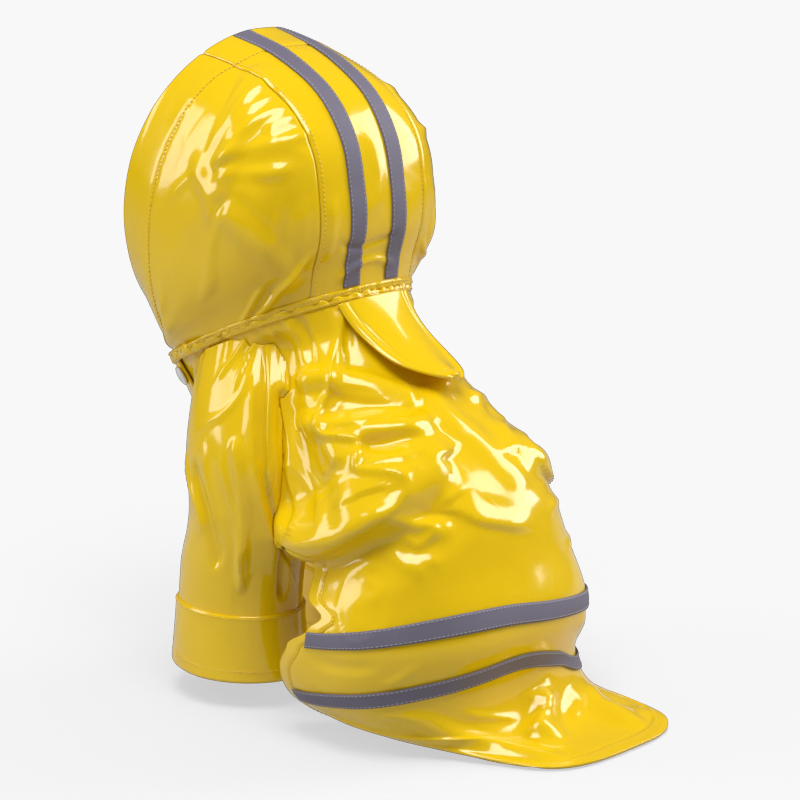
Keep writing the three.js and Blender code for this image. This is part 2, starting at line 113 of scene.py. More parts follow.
# A snap cap's shape: radius and height from its base up to its middle
SNAP_PROFILE = [
    (5.6, 0), (6.0, 0.35), (6.0, 0.9), (5.7, 1.35), (5.0, 1.65), (4.6, 1.6), (4.2, 1.75), (3.2, 2.25),
    (1.8, 2.52),
]
SNAP_HEIGHT = 2.6

# Camera: the photograph's view of the coat from behind and to the wearer's left
CAMERA_AZIMUTH = 134
CAMERA_ELEVATION = 14
CAMERA_DISTANCE = 1.7
CAMERA_TARGET = Vector((0, 0.088, -0.035))
CAMERA_LENS = 131.9

# Light: colours and strengths, then each softbox's name, azimuth and elevation in degrees, distance, width
# and height in metres, and power in watts
PAPER_COLOUR = (0.94, 0.94, 0.94, 1)
ROOM_COLOUR = (1.0, 0.98, 0.95, 1)
ROOM_STRENGTH = 0.3
MIRRORED_ROOM_STRENGTH = 0.12
FLOOR_LIGHT = 270
SOFTBOXES = [
    ("left softbox", 44, 18, 1.5, 0.6, 0.9, 6.8),
    ("right softbox", 244, 24, 1.5, 0.7, 1.0, 13),
    ("top softbox", 130, 68, 1.7, 1.1, 0.9, 23),
]


def table(columns, rows):
    """A table with named columns, a row for each section, place or fold."""
    return {name: np.array([row[i] for row in rows], float) for i, name in enumerate(columns.split())}


SECTION = "backY backZ frontY frontZ halfWidth widest square frontSquare bow shift"
HOOD = table(SECTION, [
    (-24, 390, -62, 200, 70, 0.52, 2.2, 2.3, -26, 0),
    (10, 380, -64, 199, 75, 0.52, 2.4, 2.5, -12, 0),
    (44, 361, -65, 198, 77, 0.5, 2.9, 2.7, -4, 0),
    (63, 336, -66, 197, 76, 0.46, 3.2, 2.8, 0, 0),
    (70, 307, -68, 195, 74, 0.44, 3.1, 2.8, 0, 0),
    (71, 284, -70, 193, 70, 0.44, 3.0, 2.7, 0, 0),
    (66, 264, -72, 191, 65, 0.46, 2.9, 2.5, 0, 0),
    (65, 246, -73, 188, 61, 0.48, 2.6, 2.4, 0, 0),
])
BODY = table(SECTION, [
    (65, 246, -73, 188, 61, 0.48, 2.6, 2.4, 0, 0),
    (79, 226, -70, 166, 56, 0.42, 2.15, 2.1, 0, 0),
    (98, 202, -53, 138, 62, 0.36, 2.2, 1.8, 0, 0),
    (130, 174, -28, 112, 71, 0.34, 2.3, 1.6, 0, 0),
    (163, 140, 2, 94, 80, 0.36, 2.4, 1.8, 0, 0),
    (177, 102, 28, 76, 85, 0.4, 2.5, 2.2, 0, 0),
    (188, 66, 34, 60, 93, 0.44, 2.5, 2.5, 0, 0),
    (181, 34, 34, 28, 89, 0.46, 2.6, 2.6, 0, 0),
    (194, 9, 38, 9, 79, 0.46, 2.9, 2.6, 0, -12),
    (241, 1.6, 44, 1.6, 66, 0.42, 3.4, 2.6, 0, -27),
])
BACK_EDGE = table("at angle", [
    (0, 98), (1, 100), (2, 116), (3, 132), (3.7, 142), (4.35, 105), (5.05, 105), (5.45, 95), (5.75, 101),
    (6.2, 112), (6.65, 117), (7.05, 116), (7.6, 118), (9, 117),
])
PLACKET_EDGE = table("at left", [(0, 63), (0.95, 61), (1.7, 22), (4.05, 18)])
SNAPS = table("at left", [(0.64, 54), (1.8, 12), (2.85, 11)])
UPPER_TAPE = table("angle at", [
    (-105, 6.1), (-75, 6.08), (-45, 5.98), (-15, 5.8), (12, 5.64), (42, 5.62), (74, 5.78), (101, 5.96),
])
LOWER_TAPE = table("angle at", [
    (-112, 7.1), (-80, 7.15), (-44, 7.25), (-24, 6.85), (0, 6.58), (36, 6.68), (74, 6.95), (109, 7.18),
])
SLEEVE = table("z x y halfX halfY", [
    (226, 30, 4, 26, 34), (212, 34, 7, 29, 38), (196, 40, 12, 32, 42), (175, 46, 16, 34, 44),
    (148, 52, 19, 33, 46), (113, 53, 17.5, 32, 42), (80, 52, 8.5, 33, 40.5), (51, 51, 5, 34, 41),
    (17, 50, 4, 37, 44),
])

# The largest folds, as the solids have them: a ridge, or a trough where its height is negative, along a bent
# line between two places (degrees from the middle of the back, row of the section table)
Fold = namedtuple("Fold", "from_angle from_at to_angle to_at bend height above below")
BODY_FOLDS = [
    (104, 4.1, 24, 3.42, 6, 9, 30, 14),
    (104, 4.62, 30, 3.95, 6, -5, 13, 26),
    (58, 1.65, 14, 2.33, -3, 4.5, 13, 12),
    (70, 2.4, 16, 2.8, 4, 5.5, 14, 11),
    (60, 2.95, 38, 3.4, 0, 4, 13, 12),
    (54, 3.98, 30, 4.2, 0, 3, 10, 10),
    (0, 2.6, -18, 3.7, 0, 3, 16, 16),
    (-104, 4.15, -34, 3.6, -4, 7, 26, 15),
    (-64, 2.1, -34, 2.6, 4, 2.5, 14, 12),
    (66, 0.9, 98, 3.6, 0, -6, 18, 22),
    (-66, 0.9, -98, 3.6, 0, -5, 18, 22),
    (-8, 7.5, 8, 8.1, 2, 6, 12, 12),
    (-36, 7.9, -30, 8.4, 0, 4.5, 14, 14),
    (45, 7.4, 30, 8.4, 0, 3, 14, 14),
]
SLEEVE_FOLDS = [
    (30, 2.4, 8, 6.2, 5, -4.5, 10, 10),
    (68, 3.6, 50, 6.0, 0, 3, 9, 9),
    (112, 4.3, 78, 5.6, 0, -3, 10, 8),
    (-120, 3.5, -100, 6.2, 0, -3, 10, 10),
]
HOOD_FOLDS = [
    (66, 2.4, 30, 1.2, 0, 2.5, 10, 12),
    (70, 3.0, 46, 6.0, 0, 2.5, 10, 12),
    (-64, 2.6, -44, 5.8, 0, 2.5, 12, 10),
]

# Creases: a ridge, or a trough where its height is negative, along a line of places (degrees, row). Walking
# the line on the outside of the cloth, from its first place to its last, left and right are its widths on
# each hand, in millimetres. sharp is 0 for a rounded crest and 1 for a pinched one, and over is how far the
# crest hangs over the cloth on its right, or on its left where it is negative.
Crease = namedtuple("Crease", "height left right sharp path over", defaults=(0,))
MEANDER = [
    (34, 0.9), (43, 1.5), (47, 1.88), (56, 2.16), (62, 2.42), (64, 2.56), (62, 2.68), (55, 2.78), (50, 2.88),
    (51, 3.0), (55, 3.18), (55, 3.28), (49, 3.38), (42, 3.5), (40, 3.64), (43, 3.78), (52, 3.9),
]
BODY_CREASES = [
    (4.2, 7, 30, 0.95, MEANDER),
    (2.1, 3, 3, 0.7, MEANDER, -0.6),
    (2.6, 3, 9, 0.8, [(40, 3.7), (48, 3.86), (54, 3.94), (61, 4.0), (75, 4.12), (92, 4.26),
        (118, 4.46)], -3),
    (-5, 16, 3, 0.3, [(50, 4.08), (60, 4.1), (75, 4.22), (92, 4.36), (116, 4.52)]),
    (2.8, 14, 3, 0.5, [(62, 0.5), (74, 1.4), (84, 2.1), (93, 2.7), (99, 3.2), (102, 3.86), (104, 4.4)]),
    (-3, 15, 14, 0.1, [(68, 1.9), (74, 2.6), (77, 3.3), (80, 4.0), (84, 4.3)]),
    (2.4, 10, 4, 0.9, [(50, 1.84), (44, 2.06), (28, 2.34), (18, 2.5), (6, 2.5)]),
    (1.8, 9, 3.5, 0.9, [(64, 2.5), (52, 2.56), (39, 2.6), (16, 2.52)]),
    (3.2, 12, 4, 0.9, [(53, 2.82), (40, 2.84), (29, 2.9), (18, 3.0)]),
    (2.2, 11, 4, 0.9, [(56, 3.22), (46, 3.24), (36, 3.28), (24, 3.2)]),
    (0.8, 20, 18, 0.2, [(13, 2.4), (7, 2.8), (2, 3.14), (-3, 3.5), (-9, 3.96), (-12, 4.6)]),
    (2.2, 4, 9, 0.7, [(-16, 4.6), (-11, 4.5), (2, 4.34), (13, 4.2), (22, 3.96), (38, 3.82)], -1.5),
    (0.5, 5, 6, 0.8, [(26, 2.9), (19, 3.1), (11, 3.48), (8, 3.72), (1, 3.96), (-3, 4.2)]),
    (0.7, 5, 5, 0.6, [(24, 3.3), (18, 3.5), (15, 3.8), (11, 4.1)]),
    (0.7, 5, 6, 0.6, [(8, 2.75), (4, 2.96), (-3, 3.16)]),
    (2.2, 4, 5, 0.5, [(58, 3.97), (44, 4.06), (35, 4.12), (33, 4.2), (36, 4.3), (41, 4.36), (46, 4.27),
        (52, 4.34)]),
    (-2, 7, 6, 0.4, [(14, 0.25), (26, 0.8), (34, 1.4)]),
    (2.6, 6, 7, 0.7, [(22, 0.25), (31, 0.9), (38, 1.5), (40, 1.9)]),
    (2, 5, 5, 0.7, [(50, 0.2), (54, 0.8), (58, 1.4)]),
    (-1.8, 4, 5, 0.5, [(44, 0.2), (48, 0.9), (53, 1.5)]),
    (1.2, 4, 4, 0.9, [(76, 3.12), (66, 3.06), (58, 2.98)]),
    (1.8, 5, 6, 0.8, [(53, 4.34), (49, 4.6), (39, 4.78)]),
    (1.4, 5, 5, 0.8, [(48, 4.46), (44, 4.58), (32, 4.66)]),
    (0.7, 5, 5, 0.8, [(73, 4.7), (60, 4.9), (69, 5.14)]),
    (1.4, 8, 8, 0.5, [(14, 2.34), (-9, 2.4), (-26, 2.6)]),
    (3.4, 16, 4, 0.6, [(-18, 7.1), (-10, 7.4), (-1, 7.76), (15, 8.2), (20, 8.4)], 2),
    (1.8, 6, 5, 0.8, [(-29, 7.5), (-24, 7.9), (-12, 8.1)]),
    (1.2, 5, 4, 0.9, [(-8, 7.3), (-4, 7.6), (-6, 7.95)]),
    (1.3, 5, 5, 0.9, [(28, 7.2), (24, 7.42), (9, 7.7)]),
    (1.2, 5, 5, 0.9, [(58, 6.56), (51, 6.42), (46, 6.2)]),
    (-1.2, 7, 6, 0.2, [(97, 6.28), (79, 6.3), (60, 6.2)]),
    (2.2, 5, 9, 0.6, [(104, 7.6), (62, 7.78), (43, 7.86), (24, 8.24)], -1),
    (1.4, 7, 6, 0.7, [(-29, 8.1), (-36, 8.4), (-52, 8.8)]),
    (1.8, 8, 8, 0.5, [(-34, 6.2), (-46, 6.5), (-52, 6.85)]),
    (1.4, 5, 5, 0.8, [(62, 7.3), (56, 7.2), (44, 7.24)]),
]
RIGHT_CREASES = [
    (3.4, 3.5, 14, 0.3, [(-26, 0.3), (-36, 1.0), (-44, 1.7), (-58, 2.1), (-66, 2.45), (-60, 2.7),
                               (-50, 2.9), (-54, 3.15), (-52, 3.35), (-40, 3.4)], -3),
    (5, 16, 4, 0.3, [(-42, 3.35), (-38, 3.6), (-44, 3.84), (-60, 4.0), (-82, 4.16), (-118, 4.42)], 4),
    (2.4, 5, 6, 0.9, [(-52, 1.9), (-36, 2.2), (-22, 2.3), (-10, 2.2)]),
    (2.4, 6, 6, 0.9, [(-64, 2.5), (-46, 2.66), (-28, 2.6)]),
    (2, 5, 5, 0.9, [(-50, 3.05), (-38, 3.1), (-26, 3.3)]),
    (2, 5, 5, 0.7, [(-44, 0.2), (-50, 0.8), (-56, 1.4)]),
    (-2, 6, 6, 0.4, [(-14, 0.3), (-24, 0.9), (-32, 1.4)]),
    (1.8, 6, 5, 0.7, [(-30, 4.4), (-52, 4.36), (-66, 4.6)]),
    (1.5, 5, 5, 0.8, [(-40, 5.1), (-56, 4.95), (-74, 5.1)]),
    (-1.5, 7, 7, 0.2, [(-60, 6.5), (-78, 6.6), (-98, 6.55)]),
    (2.2, 6, 8, 0.6, [(-60, 7.5), (-70, 7.9), (-78, 8.3)]),
    (1.8, 7, 7, 0.6, [(-90, 7.4), (-94, 7.9), (-90, 8.4)]),
]
CHEST_CREASES = [
    (1.4, 5, 6, 0.7, [(112, 0.4), (124, 0.9), (140, 1.3)]),
    (1.4, 5, 6, 0.7, [(-112, 0.4), (-128, 1.0), (-146, 1.2)]),
    (1.2, 6, 5, 0.6, [(150, 1.9), (138, 2.3), (130, 2.9)]),
    (1.2, 6, 5, 0.6, [(-150, 1.7), (-140, 2.2), (-134, 2.9)]),
]
SLEEVE_CREASES = [
    (3, 3.5, 15, 0.8, [(57, 1.4), (55, 2.2), (54, 3.1), (52, 3.8), (43, 4.6), (26, 5.3), (2, 5.9),
                             (-12, 6.3)], -2),
    (2.5, 3, 4, 0.5, [(42, 1.4), (41, 2.66), (40, 3.76), (36, 4.4), (20, 5.0), (-8, 5.7)]),
    (2, 3, 4, 0.6, [(30, 1.2), (28, 2.4), (28, 3.6), (20, 4.5), (4, 5.2)]),
    (-3, 4, 4, 0.4, [(48, 0.6), (46, 2.2), (45, 3.4), (42, 4.2), (28, 4.9)]),
    (1.8, 3.5, 4, 0.9, [(102, 3.5), (98, 4.06), (92, 4.48), (87, 4.8), (80, 5.4)]),
    (2, 4, 4.5, 0.9, [(84, 3.8), (80, 4.04), (74, 4.42), (67, 4.78), (61, 5.2), (55, 5.55), (49, 5.9),
        (42, 5.8)]),
    (1.2, 4, 5, 0.8, [(114, 3.6), (98, 3.14), (81, 2.82), (66, 2.2), (58, 1.0)]),
    (1.6, 3, 3.5, 0.9, [(56, 0.4), (58, 0.7), (64, 1.06), (70, 1.72), (74, 2.4)]),
    (1.6, 3, 3.5, 0.9, [(66, 0.4), (74, 1.0), (84, 1.6), (96, 2.2)]),
    (-1.6, 4, 4, 0.6, [(60, 0.4), (66, 1.0), (70, 1.6)]),
    (2.2, 6, 5, 0.5, [(134, 3.9), (122, 4.5), (106, 4.9), (96, 5.3)]),
    (2, 7, 7, 0.4, [(-60, 2.2), (-70, 3.4), (-62, 4.6)]),
    (2.2, 5, 7, 0.6, [(-130, 3.0), (-120, 4.2), (-126, 5.4)]),
    (1.8, 6, 6, 0.7, [(-90, 4.2), (-98, 5.2), (-92, 6.2)]),
    (1.8, 6, 6, 0.6, [(160, 2.6), (170, 3.8), (162, 5.2)]),
]
HOOD_CREASES = [
    (0.9, 3, 3, 0.9, [(62, 1.7), (50, 1.48), (38, 1.28), (30, 1.2)]),
    (1, 3, 3, 0.9, [(62, 1.9), (50, 1.8), (36, 1.74), (26, 1.7)]),
    (1, 3, 3, 0.9, [(64, 2.06), (52, 2.16), (42, 2.2)]),
    (0.9, 3, 3, 0.9, [(62, 2.3), (48, 2.6), (38, 2.84), (32, 3.1)]),
    (1, 3, 4, 0.9, [(84, 1.3), (76, 1.5), (68, 1.66)]),
    (1.8, 5, 4, 0.9, [(64, 1.78), (52, 1.64), (36, 1.5), (22, 1.26)]),
    (2.4, 6, 5, 0.9, [(66, 1.8), (52, 2.3), (36, 2.68), (24, 2.66)]),
    (2, 6, 5, 0.8, [(66, 1.9), (56, 2.04), (44, 2.0), (28, 2.02)]),
    (2.2, 5, 6, 0.8, [(66, 2.1), (50, 2.94), (38, 3.24)]),
    (1.2, 5, 5, 0.8, [(44, 2.3), (36, 2.26), (28, 2.3)]),
    (2.4, 8, 7, 0.4, [(62, 1.5), (69, 1.78), (71, 2.16), (76, 2.56), (80, 2.9)]),
    (1.6, 7, 10, 0.2, [(72, 2.5), (64, 2.64), (58, 3.04), (56, 3.6), (56, 4.2), (54, 5.1)]),
    (1.2, 8, 8, 0.3, [(62, 0.74), (47, 0.76), (33, 0.76)]),
    (1.6, 8, 8, 0.2, [(38, 3.7), (43, 4.86), (47, 6.2)]),
    (1.6, 10, 10, 0.2, [(75, 2.74), (88, 3.4), (96, 4.9)]),
    (0.9, 3, 3, 0.9, [(50, 3.8), (52, 4.7)]),
    (2.6, 5, 5, 0.7, [(64, 6.8), (52, 6.2), (44, 5.7), (36, 5.2)]),
    (1.8, 4, 5, 0.8, [(74, 6.8), (66, 6.3), (60, 5.7)]),
    (1.2, 5, 5, 0.5, [(25, 4.0), (28, 5.06), (31, 5.7)]),
    (1, 9, 8, 0.2, [(0, 2.7), (-1, 3.86), (6, 4.8)]),
    (-1.4, 5, 5, 0.5, [(24, 5.2), (14, 5.5), (2, 5.45), (-14, 5.3)]),
    (1.6, 6, 5, 0.7, [(26, 6.5), (14, 6.1), (-2, 6.0), (-16, 6.3)]),
    (-1.4, 6, 5, 0.4, [(70, 6.7), (60, 6.2), (52, 5.6)]),
    (2, 6, 5, 0.8, [(-62, 1.9), (-48, 1.8), (-30, 1.9)]),
    (2.2, 6, 5, 0.8, [(-62, 2.1), (-50, 2.6), (-34, 2.9)]),
    (2.2, 7, 7, 0.4, [(-60, 1.6), (-68, 1.9), (-74, 2.4), (-80, 3.0)]),
    (1.6, 8, 8, 0.3, [(-40, 3.8), (-46, 5.0), (-50, 6.3)]),
    (1.6, 10, 10, 0.2, [(-92, 2.6), (-98, 3.8), (-96, 5.2)]),
    (2.2, 5, 5, 0.7, [(-62, 6.8), (-50, 6.2), (-38, 5.5)]),
    (1.6, 8, 8, 0.4, [(118, 2.0), (126, 3.4), (122, 5.0)]),
    (1.6, 8, 8, 0.4, [(-120, 2.2), (-128, 3.6), (-120, 5.2)]),
]


def unit(vectors):
    return vectors / np.maximum(np.linalg.norm(vectors, axis=-1, keepdims=True), 1e-9)


def smoothstep(x, low, high):
    t = np.clip((x - low) / (high - low), 0, 1)
    return t * t * (3 - 2 * t)


def row_at(rows, at):
    """The values of a table at places between its rows, counted from 0 at the first row."""
    at = np.asarray(at, float)
    count = len(next(iter(rows.values())))
    first = np.clip(np.floor(at).astype(int), 0, count - 2)
    t = at - first
    t2, t3 = t * t, t ** 3
    near = [np.clip(first + step, 0, count - 1) for step in (-1, 0, 1, 2)]
    found = {}
    for name, column in rows.items():
        a, b, c, d = (column[i] for i in near)
        ends = b * (2 * t3 - 3 * t2 + 1) + c * (3 * t2 - 2 * t3)
        found[name] = ends + (c - a) / 2 * (t3 - 2 * t2 + t) + (d - b) / 2 * (t3 - t2)
    return found


def ring_point(rows, angle, at):
    """A point of a section, at an angle in degrees from the middle of the back towards the wearer's left."""
    row = row_at(rows, at)
    c, s = np.cos(np.radians(angle)), np.sin(np.radians(angle))
    square = np.where(c >= 0, row["square"], row["frontSquare"])
    k = (np.abs(c) ** square + np.abs(s) ** square) ** (-1 / square)
    depth_y = row["frontY"] - row["backY"]
    depth_z = row["frontZ"] - row["backZ"]
    share = row["widest"] - np.where(c >= 0, row["widest"], 1 - row["widest"]) * c * k
    depth = np.hypot(depth_y, depth_z)
    bow = row["bow"] * s * s
    x = row["halfWidth"] * s * k + row["shift"]
    y = row["backY"] + depth_y * share - bow * depth_z / depth
    z = row["backZ"] + depth_z * share + bow * depth_y / depth
    return np.stack([x, y, z], -1)


def plain_hood(angle, at):
    return ring_point(HOOD, angle, at)


def plain_body(angle, at):
    return ring_point(BODY, angle, at)


def sleeve_point(angle, at):
    row = row_at(SLEEVE, at)
    a = np.radians(angle)
    x = row["x"] + row["halfX"] * np.sin(a)
    y = row["y"] + row["halfY"] * np.cos(a)
    return np.stack([x, y, row["z"] + 0 * a], -1)


def outward(surface, angle, at):
    """The outward direction of a surface at a place, from a short step to each side of it."""
    across = surface(angle + 0.4, at) - surface(angle - 0.4, at)
    down = surface(angle, at + 0.02) - surface(angle, at - 0.02)
    return unit(np.cross(across, down))


def run_along(points):
    """The length of a line of points up to each of them."""
    return np.concatenate([[0], np.cumsum(np.linalg.norm(np.diff(points, axis=0), axis=1))])


def fold_lift(folds, row_mm, angle, at):
    """How far the large folds raise the cloth at a place."""
    lift = np.zeros(np.shape(angle))
    for fold in folds:
        run_x = (fold.to_angle - fold.from_angle) * MM_PER_DEGREE
        run_y = (fold.to_at - fold.from_at) * row_mm
        length = math.hypot(run_x, run_y)
        x = (angle - fold.from_angle) * MM_PER_DEGREE
        y = (at - fold.from_at) * row_mm
        along = (x * run_x + y * run_y) / length
        t = np.clip(along / length, 0, 1)
        facing = math.copysign(1, run_x or 1)
        side = (y * abs(run_x) - x * run_y * facing) / length - fold.bend * 4 * t * (1 - t)
        width = np.where(side < 0, fold.above, fold.below)
        away = np.hypot(side, along - t * length) / width
        lift += np.where(away < 1, fold.height * (1 - away ** 2) ** 2, 0)
    return lift


def rounded_path(path):
    """The places of a crease's line joined by a smooth curve, in five steps from each to the next."""
    found = row_at(table("x y", path), np.linspace(0, len(path) - 1, (len(path) - 1) * 5 + 1))
    return np.stack([found["x"], found["y"]], -1)


def creased(creases, row_mm, angle, at):
    """How far the creases raise the cloth at a place, and push it sideways, in degrees and rows."""
    scale = np.array([MM_PER_DEGREE, row_mm])
    spots = np.stack([angle, at], -1).reshape(-1, 2) * scale
    lift = np.zeros(len(spots))
    push = np.zeros((len(spots), 2))
    for crease in creases:
        line = rounded_path(crease.path) * scale
        reach = max(crease.left, crease.right)
        near = np.all((spots > line.min(0) - reach) & (spots < line.max(0) + reach), 1)
        if not near.any():
            continue
        steps = np.diff(line, axis=0)
        lengths = np.linalg.norm(steps, axis=1)
        done = run_along(line)
        offset = spots[near][:, None] - line[None, :-1]
        t = np.clip((offset * steps).sum(-1) / lengths ** 2, 0, 1)
        gap = offset - t[..., None] * steps
        distance = np.linalg.norm(gap, axis=-1)
        nearest = distance.argmin(1)
        pick = np.arange(len(nearest)), nearest
        hand = steps[nearest, 0] * gap[pick][:, 1] - steps[nearest, 1] * gap[pick][:, 0]
        away = np.minimum(distance[pick] / np.where(hand > 0, crease.left, crease.right), 1)
        share = (done[nearest] + t[pick] * lengths[nearest]) / done[-1]
        fade = smoothstep(share, -0.05, 0.25) * smoothstep(1 - share, -0.05, 0.25)
        pinched = np.maximum(1.07 - np.sqrt(away ** 2 + 0.145 ** 2), 0) ** 1.3
        rounded = (1 - away ** 2) ** 2
        shape = fade * (crease.sharp * pinched + (1 - crease.sharp) * rounded)
        lift[near] += crease.height * shape
        rightward = np.stack([steps[:, 1], -steps[:, 0]], -1) / lengths[:, None]
        push[near] += crease.over * shape[:, None] * rightward[nearest]
    return lift.reshape(np.shape(angle)), (push / scale).reshape(*np.shape(angle), 2)


def ripple(points, period, seed, waves=9):
    """Soft uneven waves through space, about 1 high, for cloth that is never quite even."""
    rng = np.random.default_rng(seed)
    directions = unit(rng.normal(size=(waves, 3)))
    lengths = period * rng.uniform(0.7, 1.6, waves)
    phases = rng.uniform(0, 2 * math.pi, waves)
    total = sum(np.sin(points @ d * 2 * math.pi / n + p) for d, n, p in zip(directions, lengths, phases))
    return total / math.sqrt(waves / 2) / 1.6


def crinkle(points, period, seed):
    """Thin wandering crests, from 0 to 1, where soft waves pass through nought."""
    wave = ripple(points, period, seed)
    patches = np.clip(ripple(points, 2.2 * period, seed + 50) + 0.1, 0, 1)
    return patches * np.clip(1 - np.abs(wave) / 0.35, 0, 1) ** 2


def worn(plain, folds, creases, row_mm, seed, gathered):
    """A surface with the folds and creases of its tables, unevenness and gathers."""
    folds = [Fold(*row) for row in folds]
    creases = [Crease(*row) for row in creases]

    def surface(angle, at):
        angle, at = np.broadcast_arrays(np.asarray(angle, float), np.asarray(at, float))
        raised, push = creased(creases, row_mm, angle, at)
        moved = angle + push[..., 0], at + push[..., 1]
        base = plain(*moved)
        lift = fold_lift(folds, row_mm, *moved) + raised
        uneven = 0.35 * ripple(base, 46, seed) + 0.05 * ripple(base, 15, seed + 1)
        lift += uneven + 0.5 * crinkle(base, 60, seed + 2)
        lift += gathered(angle, at)
        return base + outward(plain, *moved) * lift[..., None]
    return surface


def gathers(places_mm, depth, seed):
    """Uneven small gathers along a sewn edge, for a depth in millimetres at each place."""
    phases = np.random.default_rng(seed).uniform(0, 2 * math.pi, 3)
    waves = [
        share * np.sin(places_mm * 2 * math.pi / period + phase)
        for (period, share), phase in zip(GATHERS, phases)
    ]
    return depth * sum(waves) / 2


def hood_gathers(angle, at):
    below = (HOOD_LAST - at) * ROW_MM["hood"]
    return gathers(angle * MM_PER_DEGREE, 0.7 * np.exp(-below / 9), 3)


def body_gathers(angle, at):
    return gathers(angle * 1.1, 1.0 * np.exp(-at * ROW_MM["body"] / 16), 4)


def sleeve_gathers(angle, at):
    return gathers(angle * 0.7, 0.8 * np.exp(-np.maximum(at - 0.5, 0) * ROW_MM["sleeve"] / 24), 5)


ALL_BODY_CREASES = BODY_CREASES + RIGHT_CREASES + CHEST_CREASES
hood = worn(plain_hood, HOOD_FOLDS, HOOD_CREASES, ROW_MM["hood"], 11, hood_gathers)
body = worn(plain_body, BODY_FOLDS, ALL_BODY_CREASES, ROW_MM["body"], 21, body_gathers)
left_sleeve = worn(sleeve_point, SLEEVE_FOLDS, SLEEVE_CREASES, ROW_MM["sleeve"], 31, sleeve_gathers)


def right_sleeve(angle, at):
    return left_sleeve(-angle, at) * np.array([-1, 1, 1])


def angle_at_length(rows, at, start, length):
    """The angle that lies a length of cloth along each section from another angle."""
    sweep = start + math.copysign(1, length) * np.arange(0, 120.25, 0.25)
    found = []
    for place in np.ravel(at):
        points = ring_point(rows, sweep, np.full(len(sweep), place))
        found.append(np.interp(abs(length), run_along(points), sweep))
    return np.array(found).reshape(np.shape(at))


def angle_at_each_length(rows, at, start, lengths):
    """The same, for a length of its own at each row."""
    pairs = zip(np.ravel(at), np.ravel(lengths))
    found = [angle_at_length(rows, place, start, length) for place, length in pairs]
    return np.array(found, float).reshape(np.shape(at))


def row_at_length(surface, angle, start, length):
    """The row that lies a length of cloth from another row, at each angle."""
    steps = start + math.copysign(1, length) * np.arange(0, 7.01, 0.02)
    found = []
    for place in np.ravel(angle):
        points = surface(np.full(len(steps), place), steps)
        found.append(np.interp(abs(length), run_along(points), steps))
    return np.array(found).reshape(np.shape(angle))


def all_round(columns):
    return -180 + 360 * np.arange(columns) / columns


def crowded(count, crowd=0.6, dense=()):
    """Shares from 0 to 1, closer together towards both ends and round dense places (share, width, gain)."""
    t = np.linspace(0, 1, 2000)
    density = 1 / (1 - crowd * np.cos(2 * math.pi * t))
    for middle, width, gain in dense:
        density += gain * np.exp(-(((t - middle) / width) ** 2))
    run = np.concatenate([[0], np.cumsum((density[1:] + density[:-1]) / 2)])
    return np.interp(np.linspace(0, run[-1], count + 1), run, t)


def between(rows, column, at):
    """A column's value at a row between two places of a table, eased from one to the next."""
    following = np.clip(np.searchsorted(rows["at"], at), 1, len(rows["at"]) - 1)
    a, b = rows[column][following - 1], rows[column][following]
    return a + (b - a) * smoothstep(at, rows["at"][following - 1], rows["at"][following])


def back_edge(at):
    return between(BACK_EDGE, "angle", at)


def placket_edge(at):
    return angle_at_each_length(BODY, at, -180, -between(PLACKET_EDGE, "left", at))


def chest_seam(at):
    return back_edge(np.minimum(at, SIDE_SEAM_END)) + SEAM_GAP


def places(start, end, rows, low, high, columns, dense_rows=(), dense_columns=()):
    """A patch's grid of places: angles from a low to a high edge that change with the row, and rows."""
    at = start + (end - start) * crowded(rows, dense=dense_rows)[:, None]
    first, last = low(at), high(at)
    across = crowded(columns, dense=dense_columns)[None, :]
    return first + (last - first) * across, at + np.zeros(columns + 1)[None, :]


def grid_normals(points, ring=False):
    if ring:
        across = np.roll(points, -1, 1) - np.roll(points, 1, 1)
    else:
        across = np.gradient(points, axis=1)
    return unit(np.cross(across, np.gradient(points, axis=0)))


def metres(points):
    return (np.asarray(points) - NECK_CENTRE) / 1000


def link(name, points, faces, materials, face_materials=None, flat_from=None):
    """A mesh object from points in millimetres."""
    mesh = bpy.data.meshes.new(name)
    mesh.from_pydata(metres(points).tolist(), [], faces)
    smooth = np.ones(len(faces), bool)
    if flat_from is not None:
        smooth[flat_from:] = False
    mesh.polygons.foreach_set("use_smooth", smooth)
    for material in materials:
        mesh.materials.append(material)
    if face_materials is not None:
        mesh.polygons.foreach_set("material_index", face_materials)
    mesh.update()
    made = bpy.data.objects.new(name, mesh)
    bpy.context.scene.collection.objects.link(made)
    return made


def shell(name, outer, inner, materials, ring=False):
    """A closed sheet between two grids of points: the outside, then the inside, then the cut edges."""
    rows, columns = outer.shape[0] - 1, outer.shape[1]
    layer = (rows + 1) * columns
    spans = columns if ring else columns - 1
    i, j = np.meshgrid(np.arange(rows), np.arange(spans), indexing="ij")
    k = (j + 1) % columns
    a, b, c, d = i * columns + j, (i + 1) * columns + j, (i + 1) * columns + k, i * columns + k
    outside = np.stack([a, d, c, b], -1).reshape(-1, 4)
    inside = np.stack([a, b, c, d], -1).reshape(-1, 4) + layer
    j = np.arange(spans)
    k = (j + 1) % columns
    end = rows * columns
    edges = [
        np.stack([j, layer + j, layer + k, k], -1),
        np.stack([end + k, layer + end + k, layer + end + j, end + j], -1),
    ]
    if not ring:
        i = np.arange(rows) * columns
        last = columns - 1
        edges.append(np.stack([i, i + columns, layer + i + columns, layer + i], -1))
        i = i + last
        edges.append(np.stack([i, layer + i, layer + i + columns, i + columns], -1))
    faces = np.concatenate([outside, inside] + edges)
    slots = np.zeros(len(faces), int)
    slots[len(outside):2 * len(outside)] = len(materials) - 1
    points = np.concatenate([outer.reshape(-1, 3), inner.reshape(-1, 3)])
    return link(name, points, faces.tolist(), materials, slots, flat_from=2 * len(outside))


